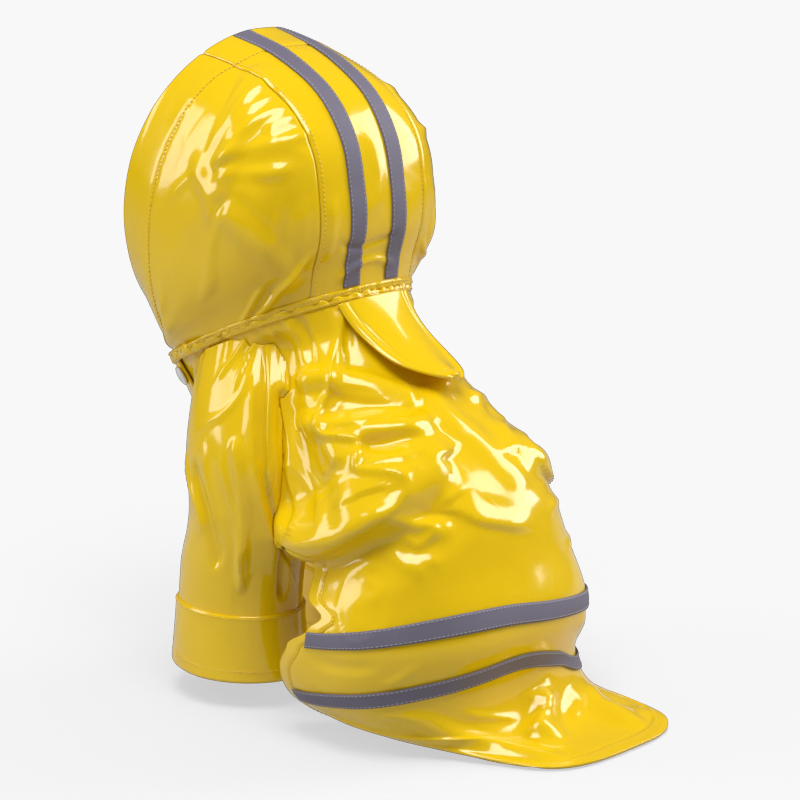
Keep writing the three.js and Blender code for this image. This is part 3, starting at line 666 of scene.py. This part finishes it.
def ring_faces(rings, sides, start=0):
    """Faces between rings of points that follow one another, from the number of the first point."""
    faces = []
    for low in range(start, start + (rings - 1) * sides, sides):
        high = low + sides
        for n in range(sides):
            k = (n + 1) % sides
            faces.append((low + n, low + k, high + k, high + n))
    return faces


def cloth_panel(name, points, materials, lift=0, wall=WALL, ring=False):
    """A panel from a grid of points: its outside raised by a lift, and its inside a wall's thickness in."""
    normals = grid_normals(points, ring)
    outer = points + normals * np.asarray(lift)[..., None]
    return shell(name, outer, outer - normals * wall, materials, ring)


def edge_distance(points, edge):
    """Millimetres from a grid's first or last row or column to each of its places, roughly."""
    axis = 0 if edge in ("start", "end") else 1
    first = points[:1] if axis == 0 else points[:, :1]
    run = np.cumsum(np.linalg.norm(np.diff(points, axis=axis, prepend=first), axis=-1), axis=axis)
    if edge in ("start", "low"):
        return run
    return (run[-1:] if axis == 0 else run[:, -1:]) - run


def seam_dip(distance, depth=0.8, width=1.3):
    """The cloth turns in where it is sewn to its neighbour."""
    return -depth * np.exp(-((distance / width) ** 2))


def hem_lift(distance, width, along):
    """A hem is two layers thick up to its row of stitches, which draw it in a little unevenly."""
    doubled = 0.5 * smoothstep(distance, width + 0.8, width - 0.8)
    groove = -0.5 * np.exp(-(((distance - width) / 1.4) ** 2))
    return doubled + groove * (1 + 0.4 * np.sin(along * 2 * math.pi / 6.4))


# Materials
NUMBER, COLOUR = "NodeSocketFloat", "NodeSocketColor"


def node(tree, kind, **values):
    made = tree.nodes.new(kind)
    for name, value in values.items():
        setattr(made, name, value)
    return made


def group(name, inputs, outputs):
    """A shader node group with named inputs (name, type, value) and outputs (name, type)."""
    tree = bpy.data.node_groups.new(name, "ShaderNodeTree")
    for label, kind, value in inputs:
        tree.interface.new_socket(label, in_out="INPUT", socket_type=kind).default_value = value
    for label, kind in outputs:
        tree.interface.new_socket(label, in_out="OUTPUT", socket_type=kind)
    return tree, node(tree, "NodeGroupInput"), node(tree, "NodeGroupOutput")


def math_node(tree, operation, *values):
    made = node(tree, "ShaderNodeMath", operation=operation)
    for socket, value in zip(made.inputs, values):
        if isinstance(value, (int, float)):
            socket.default_value = value
        else:
            tree.links.new(value, socket)
    return made.outputs[0]


def laid_on(tree, texture, scale, **values):
    """The outputs of a texture that lies on the piece itself, at the scale that a socket gives."""
    for name, value in values.items():
        texture.inputs[name].default_value = value
    tree.links.new(node(tree, "ShaderNodeTexCoord").outputs["Object"], texture.inputs["Vector"])
    tree.links.new(scale, texture.inputs["Scale"])
    return texture.outputs


def cloth_relief():
    """Heights of the small unevenness of coated cloth: soft waves and thin wandering crinkles."""
    inputs = [("Wave Scale", NUMBER, 60.0), ("Crinkle Scale", NUMBER, 45.0), ("Crinkle", NUMBER, 0.5)]
    tree, given, result = group("cloth relief", inputs, [("Height", NUMBER)])
    scales = given.outputs
    waves = laid_on(tree, node(tree, "ShaderNodeTexNoise"), scales["Wave Scale"], Detail=2.0)["Fac"]
    noise = node(tree, "ShaderNodeTexNoise")
    crinkles = laid_on(tree, noise, scales["Crinkle Scale"], Detail=1.0, Distortion=0.6)["Fac"]
    middle = math_node(tree, "ABSOLUTE", math_node(tree, "SUBTRACT", crinkles, 0.5))
    crest = math_node(tree, "SUBTRACT", 1.0, math_node(tree, "MULTIPLY", middle, 14.0))
    crest = math_node(tree, "POWER", math_node(tree, "MAXIMUM", crest, 0.0), 2.0)
    crest = math_node(tree, "MULTIPLY", crest, given.outputs["Crinkle"])
    tree.links.new(math_node(tree, "ADD", waves, crest), result.inputs["Height"])
    return tree


def uneven_colour():
    """A colour that drifts between two tones, with a mask of the drift."""
    inputs = [("Tone", COLOUR, (1, 1, 1, 1)), ("Other Tone", COLOUR, (0, 0, 0, 1)), ("Scale", NUMBER, 12.0)]
    tree, given, result = group("uneven colour", inputs, [("Color", COLOUR), ("Mask", NUMBER)])
    drift = laid_on(tree, node(tree, "ShaderNodeTexNoise"), given.outputs["Scale"], Detail=5.0)["Fac"]
    mix = node(tree, "ShaderNodeMix", data_type="RGBA")
    tree.links.new(drift, mix.inputs["Factor"])
    tree.links.new(given.outputs["Tone"], mix.inputs["A"])
    tree.links.new(given.outputs["Other Tone"], mix.inputs["B"])
    tree.links.new(mix.outputs["Result"], result.inputs["Color"])
    tree.links.new(drift, result.inputs["Mask"])
    return tree


def fine_weave():
    """Heights of a plain weave and of the beads of a reflective tape, each at a scale of its own."""
    inputs = [("Threads", NUMBER, 1500.0), ("Beads", NUMBER, 2500.0)]
    tree, given, result = group("fine weave", inputs, [("Weave", NUMBER), ("Bead", NUMBER)])
    bands = []
    for direction in ("Z", "DIAGONAL"):
        wave = node(tree, "ShaderNodeTexWave", bands_direction=direction)
        bands.append(laid_on(tree, wave, given.outputs["Threads"], Distortion=0.4)["Fac"])
    tree.links.new(math_node(tree, "MULTIPLY", *bands), result.inputs["Weave"])
    beads = laid_on(tree, node(tree, "ShaderNodeTexVoronoi"), given.outputs["Beads"])
    tree.links.new(beads["Distance"], result.inputs["Bead"])
    return tree


RELIEF = cloth_relief()
UNEVEN = uneven_colour()
WEAVE = fine_weave()


def place_group(tree, shared, **values):
    made = node(tree, "ShaderNodeGroup", node_tree=shared)
    for name, value in values.items():
        made.inputs[name.replace("_", " ")].default_value = value
    return made


def material(name, roughness, tones, drift, coat=0.0, metallic=0.0):
    """A material whose colour drifts between two tones at a scale, with its shader and the drift's mask."""
    made = bpy.data.materials.new(name)
    made.use_nodes = True
    tree = made.node_tree
    shader = tree.nodes["Principled BSDF"]
    gloss = {"Roughness": roughness, "Metallic": metallic, "Coat Weight": coat, "Coat Roughness": 0.03}
    for label, value in gloss.items():
        shader.inputs[label].default_value = value
    colour = place_group(tree, UNEVEN, Tone=(*tones[0], 1), Other_Tone=(*tones[1], 1), Scale=drift)
    tree.links.new(colour.outputs["Color"], shader.inputs["Base Color"])
    return made, tree, shader, colour.outputs["Mask"]


def raise_surface(tree, shader, height, strength, distance):
    made = node(tree, "ShaderNodeBump")
    made.inputs["Strength"].default_value = strength
    made.inputs["Distance"].default_value = distance
    tree.links.new(height, made.inputs["Height"])
    tree.links.new(made.outputs["Normal"], shader.inputs["Normal"])


def coated_cloth():
    tones = (0.86, 0.55, 0.002), (0.91, 0.615, 0.004)
    made, tree, shader, mask = material("glossy coated cloth", 0.16, tones, 9.0, coat=0.3)
    rough = math_node(tree, "ADD", 0.09, math_node(tree, "MULTIPLY", mask, 0.1))
    tree.links.new(rough, shader.inputs["Roughness"])
    relief = place_group(tree, RELIEF, Wave_Scale=55.0, Crinkle_Scale=30.0, Crinkle=0.25)
    raise_surface(tree, shader, relief.outputs["Height"], 0.2, 0.0008)
    return made


def woven(name, roughness, tones, drift, threads, strength, distance):
    made, tree, shader, _ = material(name, roughness, tones, drift)
    weave = place_group(tree, WEAVE, Threads=threads, Beads=2500.0)
    raise_surface(tree, shader, weave.outputs["Weave"], strength, distance)
    return made


def reflective_tape():
    tones = (0.15, 0.135, 0.19), (0.19, 0.172, 0.235)
    made, tree, shader, _ = material("reflective tape", 0.58, tones, 30.0, metallic=0.1)
    beads = place_group(tree, WEAVE, Threads=900.0, Beads=2200.0)
    raise_surface(tree, shader, beads.outputs["Bead"], 0.5, 0.0002)
    return made


def snap_plastic():
    tones = (0.82, 0.82, 0.84), (0.88, 0.88, 0.89)
    made, tree, shader, _ = material("white snap plastic", 0.2, tones, 60.0, coat=0.3)
    relief = place_group(tree, RELIEF, Wave_Scale=500.0, Crinkle_Scale=38.0, Crinkle=0.0)
    raise_surface(tree, shader, relief.outputs["Height"], 0.05, 0.0002)
    return made


REVERSE_TONES = (0.74, 0.48, 0.01), (0.8, 0.55, 0.03)
YELLOW_TONES = (0.88, 0.62, 0.05), (0.95, 0.72, 0.12)
PALE_TONES = (0.42, 0.4, 0.38), (0.55, 0.52, 0.48)
CLOTH = [coated_cloth(), woven("uncoated side of the cloth", 0.62, REVERSE_TONES, 14.0, 900.0, 0.4, 0.0002)]
TAPE = [reflective_tape()]
YELLOW_THREAD = [woven("yellow thread", 0.55, YELLOW_TONES, 200.0, 3000.0, 0.3, 0.0001)]
PALE_THREAD = [woven("pale thread", 0.55, PALE_TONES, 200.0, 3000.0, 0.3, 0.0001)]
SNAP = [snap_plastic()]


# Stitches
def stitch_line(surface, angles, rows, lift, pitch=2.7):
    """A row of stitches on a surface: their middles, directions, outward directions and length."""
    normals = outward(surface, angles, rows)
    points = surface(angles, rows) + normals * np.broadcast_to(lift, np.shape(angles))[:, None]
    run = run_along(points)
    count = max(int(run[-1] / pitch), 1)
    starts = (np.arange(count) + 0.5 * (1 - STITCH_SHARE)) * run[-1] / count
    length = run[-1] / count * STITCH_SHARE

    def values_at(lengths, values):
        return np.stack([np.interp(lengths, run, values[:, n]) for n in range(3)], -1)

    first, last = values_at(starts, points), values_at(starts + length, points)
    out = unit(values_at(starts + length / 2, normals))
    return (first + last) / 2, unit(last - first), out, length


def sew(name, lines, threads, radius=0.3):
    """Rows of stitches as one mesh: each is a short round bar that dips into the cloth at both ends."""
    sides = 6
    size = sides * len(STITCH)
    turn = np.arange(sides) * 2 * math.pi / sides
    points, faces = [], []
    for middles, along, out, length in lines:
        aside = unit(np.cross(along, out))
        for m, a, o, s in zip(middles, along, out, aside):
            start = len(points) * size
            rings = []
            for share, width, height in STITCH:
                up = o * radius * (height + width * np.cos(turn)[:, None])
                across = s * radius * width * np.sin(turn)[:, None]
                rings.append(m + a * length * share + up + across)
            points.append(np.concatenate(rings))
            faces += ring_faces(len(STITCH), sides, start)
            faces.append(tuple(start + n for n in reversed(range(sides))))
            faces.append(tuple(start + size - sides + n for n in range(sides)))
    made = link(name, np.concatenate(points), faces, threads)
    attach(made, "root")
    return made


def apply_cuts(piece, *cutters):
    """Cuts closed meshes out of a piece."""
    for cutter in cutters:
        modifier = piece.modifiers.new("cut", "BOOLEAN")
        modifier.operation = "DIFFERENCE"
        modifier.solver = "MANIFOLD"
        modifier.object = cutter
    bpy.context.view_layer.update()
    cut = bpy.data.meshes.new_from_object(piece.evaluated_get(bpy.context.evaluated_depsgraph_get()))
    piece.modifiers.clear()
    piece.data = cut


def closed_core(name, surface, start, end, rows, columns, lift):
    """A closed solid inside a surface all round, as a cutting tool."""
    at = np.linspace(start, end, rows + 1)
    points = surface(*np.broadcast_arrays(all_round(columns)[None, :], at[:, None]))
    points = points + grid_normals(points, True) * lift
    count = (rows + 1) * columns
    last = rows * columns
    faces = ring_faces(rows + 1, columns)
    faces += [(count, (n + 1) % columns, n) for n in range(columns)]
    faces += [(count + 1, last + n, last + (n + 1) % columns) for n in range(columns)]
    ends = np.stack([points[0].mean(0), points[-1].mean(0)])
    return link(name, np.concatenate([points.reshape(-1, 3), ends]), faces, [CLOTH[0]])


def neck_block(name, margin):
    """A closed block above the flat neck seam, a margin below it, as a cutting tool."""
    back = np.array([0, BODY["backY"][0], BODY["backZ"][0]])
    front = np.array([0, BODY["frontY"][0], BODY["frontZ"][0]])
    along = unit(front - back)
    down = np.array([0, along[2], -along[1]])
    if down[2] > 0:
        down = -down
    reach = 400
    corners = []
    for height in (margin, -reach):
        middle = (back + front) / 2 + down * height
        for aside, ahead in ((-1, -1), (1, -1), (1, 1), (-1, 1)):
            corners.append(middle + along * ahead * reach + np.array([aside * reach, 0, 0]))
    faces = [(0, 1, 2, 3), (7, 6, 5, 4), (0, 4, 5, 1), (1, 5, 6, 2), (2, 6, 7, 3), (3, 7, 4, 0)]
    return link(name, np.array(corners), faces, [CLOTH[0]])


# Hood
def hood_band_edge(at):
    return angle_at_length(HOOD, at, 0, HOOD_BAND_WIDTH / 2)


def hood_panel(name, rows, columns, low, high, seams):
    grid = places(0, HOOD_LAST, rows, low, high, columns)
    points = hood(*grid)
    lift = sum(seam_dip(edge_distance(points, seam)) for seam in seams)
    lift = lift + hem_lift(edge_distance(points, "start"), HOOD_HEM, grid[0] * MM_PER_DEGREE)
    return cloth_panel(name, points, CLOTH, lift)


def make_hood():
    low = lambda t: -hood_band_edge(t)
    band = hood_panel("hood_centre_band", 130, 56, low, hood_band_edge, ("low", "high"))
    pieces = {"hood_centre": band}
    for side, sign in (("left", 1), ("right", -1)):
        edges = [lambda t: sign * (hood_band_edge(t) + SEAM_GAP), lambda t: sign * HOOD_REACH + 0 * t]
        low, high = edges[::sign]
        seam = "low" if sign > 0 else "high"
        pieces["hood_side_" + side] = hood_panel("hood_side_panel_" + side, 150, 115, low, high, (seam,))
    return pieces


def make_hood_tapes():
    tapes, seams = {}, []
    rows = np.linspace(HOOD_TAPE_START, HOOD_LAST - HOOD_TAPE_MARGIN / ROW_MM["hood"], 150)
    share = np.linspace(0, 1, 9)[None, :]
    lift = TAPE_LIFT + TAPE_THICKNESS
    for side, sign in (("left", 1), ("right", -1)):
        widths = (HOOD_TAPE_INNER_EDGE, HOOD_TAPE_INNER_EDGE + TAPE_WIDTH)
        low, high = [angle_at_length(HOOD, rows, 0, sign * width) for width in widths][::sign]
        points = hood(low[:, None] + (high - low)[:, None] * share, rows[:, None] + 0 * share)
        name = "reflective_tape_hood_" + side
        tapes["hood_tape_" + side] = cloth_panel(name, points, TAPE, lift, TAPE_THICKNESS)
        for inset in (0.1, 0.9):
            seams.append(stitch_line(hood, low + (high - low) * inset, rows, lift + STITCH_LIFT))
    return tapes, seams


def make_neck_band():
    angle = np.linspace(*NECK_BAND_ENDS, 560)
    half = NECK_BAND_WIDTH / 2
    above = row_at_length(hood, angle, HOOD_LAST, -half)
    below = row_at_length(body, angle, 0, half)
    shares = np.linspace(-1, 1, 11)
    rows = []
    for share in shares:
        if share < 0:
            rows.append(hood(angle, HOOD_LAST + (above - HOOD_LAST) * -share))
        else:
            rows.append(body(angle, below * share))
    points = np.stack(rows)
    normals = grid_normals(points)
    mm = angle * MM_PER_DEGREE
    pucker = np.sin(mm * 2 * math.pi / 3.1 + 1.3 * np.sin(mm / 9)) * (0.6 + 0.4 * np.sin(mm / 5.7))
    crown = 1 - shares[:, None] ** 2
    rise = PLACKET_LIFT * smoothstep(angle, *NECK_BAND_RISE)[None, :]
    lift = rise + 0.8 + 0.45 * crown + 0.1 * pucker[None, :] * (0.35 + crown) * np.abs(shares[:, None]) ** 0.5
    outer = points + normals * lift[..., None]
    inner = points + normals * (rise + 0.2)[..., None]
    return shell("neck_binding", outer, inner, CLOTH[:1]), (angle, above, below)


def neck_seams(angle, above, below):
    lift = 1.3 + PLACKET_LIFT * smoothstep(angle, *NECK_BAND_RISE)
    upper = stitch_line(hood, angle, HOOD_LAST + (above - HOOD_LAST) * 0.72, lift, 2.4)
    lower = stitch_line(body, angle, below * 0.72, lift, 2.4)
    return [upper, lower]


# Body and sleeves
def make_body(cutters):
    finer = BACK_FINER_ROWS, BACK_FINER_COLUMNS
    grid = places(0, BODY_LAST, 258, lambda t: -back_edge(t), back_edge, 184, *finer)
    points = body(*grid)
    sides = [edge_distance(points, edge) for edge in ("low", "high")]
    free = grid[1] > SIDE_SEAM_END
    hem = np.minimum(np.minimum(edge_distance(points, "end"), 60), np.where(free, np.minimum(*sides), 60))
    lift = hem_lift(hem, BACK_HEM, grid[0] * MM_PER_DEGREE)
    lift = lift + np.where(free, 0, seam_dip(sides[0]) + seam_dip(sides[1]))
    pieces = {"back_panel": cloth_panel("back_cloth", points, CLOTH, lift)}
    under = lambda t: angle_at_length(BODY, t, 180, -UNDER_PLACKET_EDGE)
    chests = [
        ("left", chest_seam, under, 50, "low"),
        ("right", placket_edge, lambda t: -chest_seam(t), 84, "high"),
    ]
    for side, low, high, columns, seam in chests:
        points = body(*places(0, CHEST_HEM, 110, low, high, columns))
        lift = seam_dip(edge_distance(points, seam)) + hem_lift(edge_distance(points, "end"), BACK_HEM, 0)
        if side == "right":
            lift = lift + PLACKET_LIFT * smoothstep(points[..., 0], *PLACKET_RAMP)
        pieces["chest_" + side] = cloth_panel("chest_cloth_" + side, points, CLOTH, lift)
    for piece in pieces.values():
        apply_cuts(piece, *cutters)
    return pieces


def tube(name, surface, start, end, rows, columns, lift):
    at = start + (end - start) * crowded(rows, 0.3)
    grid = np.broadcast_arrays(all_round(columns)[None, :], at[:, None])
    return cloth_panel(name, surface(*grid), CLOTH, lift(*grid), ring=True)


def sleeve_lift(angle, at):
    return seam_dip((CUFF_SEAM - at) * ROW_MM["sleeve"], 0.5, 2.0)


def cuff_lift(angle, at):
    """The cuff lies over the sleeve's end, turned in at both of its edges and a little wavy at its end."""
    from_top = (at - CUFF_START) * CUFF_ROW_MM
    from_end = (SLEEVE_LAST - at) * CUFF_ROW_MM
    turned = seam_dip(from_top, 0.7, 1.2) + seam_dip(from_end, 0.7, 1.2)
    wave = 0.35 * np.sin(np.radians(angle) * 5 + at) * smoothstep(at, CUFF_SEAM, SLEEVE_LAST)
    return SEAM_GAP + WALL + turned + wave


def make_sleeves():
    """Sleeves and cuffs, and the tools that open the armholes."""
    pieces, tools, seams = {}, [], []
    core = closed_core("core_tool", body, 0, CHEST_HEM + CORE_MARGIN, 130, 240, SEAM_GAP)
    points = body(*places(*PANEL_TOOL_ROWS, 130, lambda t: -back_edge(t), back_edge, 150))
    normals = grid_normals(points)
    panel_tool = shell("panel_tool", points + normals * SEAM_GAP, points - normals * (WALL + SEAM_GAP), CLOTH)
    neck_tool = neck_block("neck_tool", ARMHOLE_TOP_MARGIN)
    around = np.linspace(-180, 180, 400)
    for side, surface in (("left", left_sleeve), ("right", right_sleeve)):
        sleeve = tube("sleeve_cloth_" + side, surface, 0, CUFF_SEAM + 0.02, 150, 150, sleeve_lift)
        apply_cuts(sleeve, core, panel_tool, neck_tool)
        pieces["sleeve_" + side] = sleeve
        cuff = tube("cuff_cloth_" + side, surface, CUFF_START, SLEEVE_LAST, 40, 150, cuff_lift)
        pieces["cuff_" + side] = cuff
        for row in CUFF_STITCHES:
            seams.append(stitch_line(surface, around, np.full(around.shape, row), SEAM_GAP + WALL + 0.15))
        hollow = closed_core("hollow_tool_" + side, surface, 0, ARMHOLE_BOTTOM, 60, 90, -WALL)
        apply_cuts(hollow, neck_tool)
        tools.append(hollow)
    for tool in (core, panel_tool, neck_tool):
        bpy.data.objects.remove(tool)
    return pieces, tools, seams


def make_tail_tapes():
    tapes, seams = {}, []
    half = TAPE_WIDTH / 2 / ROW_MM["body"]
    share = np.linspace(-1, 1, 9)[:, None]
    lift = TAPE_LIFT + TAPE_THICKNESS + TAIL_TAPE_RISE
    for name, rows in (("tail_tape_upper", UPPER_TAPE), ("tail_tape_lower", LOWER_TAPE)):
        middle = row_at(rows, np.linspace(0, len(rows["angle"]) - 1, 230))
        points = body(middle["angle"][None, :] + 0 * share, middle["at"][None, :] + half * share)
        tapes[name] = cloth_panel("reflective_" + name, points, TAPE, lift, TAPE_THICKNESS)
        for inset in (-0.8, 0.8):
            row = middle["at"] + half * inset
            seams.append(stitch_line(body, middle["angle"], row, lift + STITCH_LIFT))
    return tapes, seams


def flap_point(across, along):
    share = np.maximum(along / FLAP_LENGTH, 0)
    rounding = np.maximum(share - FLAP_STRAIGHT, 0) / (1 - FLAP_STRAIGHT)
    half = (FLAP_WIDTH - FLAP_TAPER * share) / 2 * np.sqrt(1 - FLAP_ROUNDING * rounding ** 2)
    aside = across * half - FLAP_SWING * share ** FLAP_SWING_POWER
    steps = np.arange(0, 3, 0.01)
    spine = run_along(plain_body(np.zeros(len(steps)), steps))
    at = np.interp(NECK_BAND_WIDTH / 2 + 2 * SEAM_GAP + along, spine, steps)
    sweep = np.arange(-70, 70.5, 0.5)
    angle = np.zeros(at.shape)
    for place in np.unique(at):
        lengths = run_along(plain_body(sweep, np.full(len(sweep), place)))
        lengths -= np.interp(0, sweep, lengths)
        here = at == place
        angle[here] = np.interp(aside[here], lengths, sweep)
    lift = PLACKET_LIFT + 0.6 + FLAP_TIP_LIFT * share ** FLAP_LIFT_POWER
    lift = lift + 1.6 * np.sin(across * 2.2 + 0.6) * share + 0.8 * np.cos(across * 5) * share ** 2
    return plain_body(angle, at) + outward(plain_body, angle, at) * lift[..., None]


def make_flap():
    across, along = np.meshgrid(crowded(70) * 2 - 1, crowded(80) * FLAP_LENGTH)
    points = flap_point(across, along)
    normals = grid_normals(points)
    side = (1 - np.abs(across)) * (FLAP_WIDTH - FLAP_TAPER * along / FLAP_LENGTH) / 2
    edge = np.minimum(side, FLAP_LENGTH - along)
    lift = 0.5 * smoothstep(edge, 6.5, 5) - 0.5 * np.exp(-(((edge - 6) / 1.2) ** 2))
    lift = lift - 0.6 * np.exp(-((edge / 1.2) ** 2))
    outer = points + normals * lift[..., None]
    flap = shell("leash_flap_cloth", outer, points - normals * WALL, CLOTH)
    inset = 1 - FLAP_SEAM / (FLAP_WIDTH / 2)
    down = np.linspace(4, FLAP_LENGTH - FLAP_SEAM, 60)
    turn = np.linspace(inset, -inset, 50)
    across = np.concatenate([np.full(60, inset), turn, np.full(60, -inset)])
    along = np.concatenate([down, np.full(50, FLAP_LENGTH - FLAP_SEAM), down[::-1]])
    middles, directions, _, length = stitch_line(flap_point, across, along, 0.2)
    out = unit(np.cross(directions, np.cross([0, 0.5, 0.8], directions)))
    return flap, [(middles, directions, out, length)]


def make_snaps():
    """Domed caps with a rim and a shallow ring, turned round each snap's axis."""
    caps = {}
    sides, rings = 48, len(SNAP_PROFILE)
    turn = np.arange(sides) * 2 * math.pi / sides
    for number, (row, left) in enumerate(zip(SNAPS["at"], SNAPS["left"]), 1):
        at = np.array([row])
        angle = angle_at_length(BODY, at, 180, -left)
        out = outward(plain_body, angle, at)[0]
        centre = plain_body(angle, at)[0] + out * (PLACKET_LIFT + 2 * SEAM_GAP)
        aside = unit(np.cross(out, [0, 0, 1]))
        up = np.cross(out, aside)
        points = [centre]
        for radius, height in SNAP_PROFILE:
            middle = centre + out * height
            points.extend(middle + radius * (aside * math.cos(t) + up * math.sin(t)) for t in turn)
        points.append(centre + out * SNAP_HEIGHT)
        last, top = 1 + (rings - 1) * sides, len(points) - 1
        faces = [(0, 1 + (n + 1) % sides, 1 + n) for n in range(sides)]
        faces += ring_faces(rings, sides, 1)
        faces += [(last + n, last + (n + 1) % sides, top) for n in range(sides)]
        caps["snap_" + str(number)] = link("snap_cap_" + str(number), np.array(points), faces, SNAP)
    return caps


def hood_hem_seam():
    angle = np.linspace(-HOOD_REACH + 2, HOOD_REACH - 2, 420)
    rows = row_at_length(plain_hood, angle, 0, HOOD_HEM)
    on_hood = rows < HOOD_LAST - 0.2
    return stitch_line(hood, angle[on_hood], rows[on_hood], 0.25)


def band_seams():
    rows = np.linspace(0.05, HOOD_LAST - 0.15, 200)
    return [stitch_line(hood, sign * (hood_band_edge(rows) - 1.6), rows, 0.25) for sign in (1, -1)]


def back_hem_seam():
    """The row of stitches of the back panel's hem, from one side round the trailing end to the other."""
    rows = np.linspace(4.6, BODY_LAST - 0.28, 160)
    inset = BACK_HEM / 1.5
    sides = [(sign * (back_edge(rows) - inset), rows) for sign in (1, -1)]
    end = np.linspace(back_edge(BODY_LAST) - inset, -back_edge(BODY_LAST) + inset, 260)
    across = (end, np.full(end.shape, BODY_LAST - 0.22))
    return [stitch_line(body, *line, 0.3) for line in (sides[0], across, sides[1])]


def finish_piece(piece, node_name):
    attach(piece, "root")
    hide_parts(node_name)


def make_stage():
    mesh = bpy.data.meshes.new("floor")
    reach, low = 12, (-NECK_CENTRE[2] - FLOOR_GAP) / 1000
    corners = [(-reach, -reach, low), (reach, -reach, low), (reach, reach, low), (-reach, reach, low)]
    mesh.from_pydata(corners, [], [(0, 1, 2, 3)])
    floor = bpy.data.objects.new("floor", mesh)
    bpy.context.scene.collection.objects.link(floor)
    mesh.materials.append(material("pale floor", 0.8, ((0.1, 0.1, 0.1), (0.11, 0.11, 0.11)), 2.0)[0])
    floor.is_shadow_catcher = True
    lamp = softbox("floor light", 0, 90, 2.0, 3.0, 3.0, FLOOR_LIGHT)
    lamp.data.use_shadow = False
    lamp.visible_glossy = False
    alone = bpy.data.collections.new("floor alone")
    alone.objects.link(floor)
    lamp.light_linking.receiver_collection = alone


def place_round(thing, azimuth, elevation, distance):
    """Puts a light or camera round the coat, its azimuth from the front towards the wearer's left."""
    a, e = math.radians(azimuth), math.radians(elevation)
    away = Vector((math.sin(a) * math.cos(e), -math.cos(a) * math.cos(e), math.sin(e)))
    thing.location = CAMERA_TARGET + distance * away
    thing.rotation_euler = (CAMERA_TARGET - thing.location).to_track_quat("-Z", "Y").to_euler()
    bpy.context.scene.collection.objects.link(thing)
    return thing


def softbox(name, azimuth, elevation, distance, width, height, power):
    light = bpy.data.lights.new(name, "AREA")
    light.shape = "RECTANGLE"
    light.size = width
    light.size_y = height
    light.energy = power
    return place_round(bpy.data.objects.new(name, light), azimuth, elevation, distance)


def make_world():
    """A white background for the camera, and a room that is dimmer in reflections than as light."""
    world = bpy.data.worlds.new("studio")
    bpy.context.scene.world = world
    world.use_nodes = True
    tree = world.node_tree
    room = tree.nodes["Background"]
    room.inputs["Color"].default_value = ROOM_COLOUR
    seen_by = node(tree, "ShaderNodeLightPath")
    strength = node(tree, "ShaderNodeMapRange")
    strength.inputs["To Min"].default_value = ROOM_STRENGTH
    strength.inputs["To Max"].default_value = MIRRORED_ROOM_STRENGTH
    tree.links.new(seen_by.outputs["Is Glossy Ray"], strength.inputs["Value"])
    tree.links.new(strength.outputs[0], room.inputs["Strength"])
    paper = node(tree, "ShaderNodeBackground")
    paper.inputs["Color"].default_value = PAPER_COLOUR
    mix = node(tree, "ShaderNodeMixShader")
    tree.links.new(seen_by.outputs["Is Camera Ray"], mix.inputs[0])
    tree.links.new(room.outputs[0], mix.inputs[1])
    tree.links.new(paper.outputs[0], mix.inputs[2])
    tree.links.new(mix.outputs[0], tree.nodes["World Output"].inputs["Surface"])


def make_light_and_camera():
    for light in SOFTBOXES:
        softbox(*light)
    camera = bpy.data.objects.new("camera", bpy.data.cameras.new("camera"))
    place_round(camera, CAMERA_AZIMUTH, CAMERA_ELEVATION, CAMERA_DISTANCE)
    camera.data.lens = CAMERA_LENS
    camera.data.sensor_width = 36
    bpy.context.scene.camera = camera
    bpy.context.scene.view_settings.view_transform = "Standard"


make_world()
make_light_and_camera()
make_stage()
cloth_pieces = make_hood()
band, neck_places = make_neck_band()
cloth_pieces["neck_band"] = band
sleeves, armhole_tools, cuff_seams = make_sleeves()
cloth_pieces.update(make_body(armhole_tools))
cloth_pieces.update(sleeves)
for tool in armhole_tools:
    bpy.data.objects.remove(tool)
flap, flap_seam = make_flap()
cloth_pieces["leash_flap"] = flap
hood_tapes, hood_tape_seams = make_hood_tapes()
tail_tapes, tail_tape_seams = make_tail_tapes()
for name, piece in cloth_pieces.items():
    finish_piece(piece, name)
for tapes, panel in ((hood_tapes, "hood_centre"), (tail_tapes, "back_panel")):
    for name, piece in tapes.items():
        finish_piece(piece, name)
for name, piece in make_snaps().items():
    finish_piece(piece, name)
sewing = {
    "stitches_hood": sew("stitches_hood", [hood_hem_seam()] + band_seams(), YELLOW_THREAD),
    "stitches_neck": sew("stitches_neck", neck_seams(*neck_places), YELLOW_THREAD),
    "stitches_cuffs": sew("stitches_cuffs", cuff_seams, YELLOW_THREAD),
    "stitches_flap": sew("stitches_flap", flap_seam, YELLOW_THREAD),
    "stitches_back_hem": sew("stitches_back_hem", back_hem_seam(), YELLOW_THREAD),
}
for name, seams in (("stitches_hood_tapes", hood_tape_seams), ("stitches_tail_tapes", tail_tape_seams)):
    sew(name, seams, PALE_THREAD, 0.22)
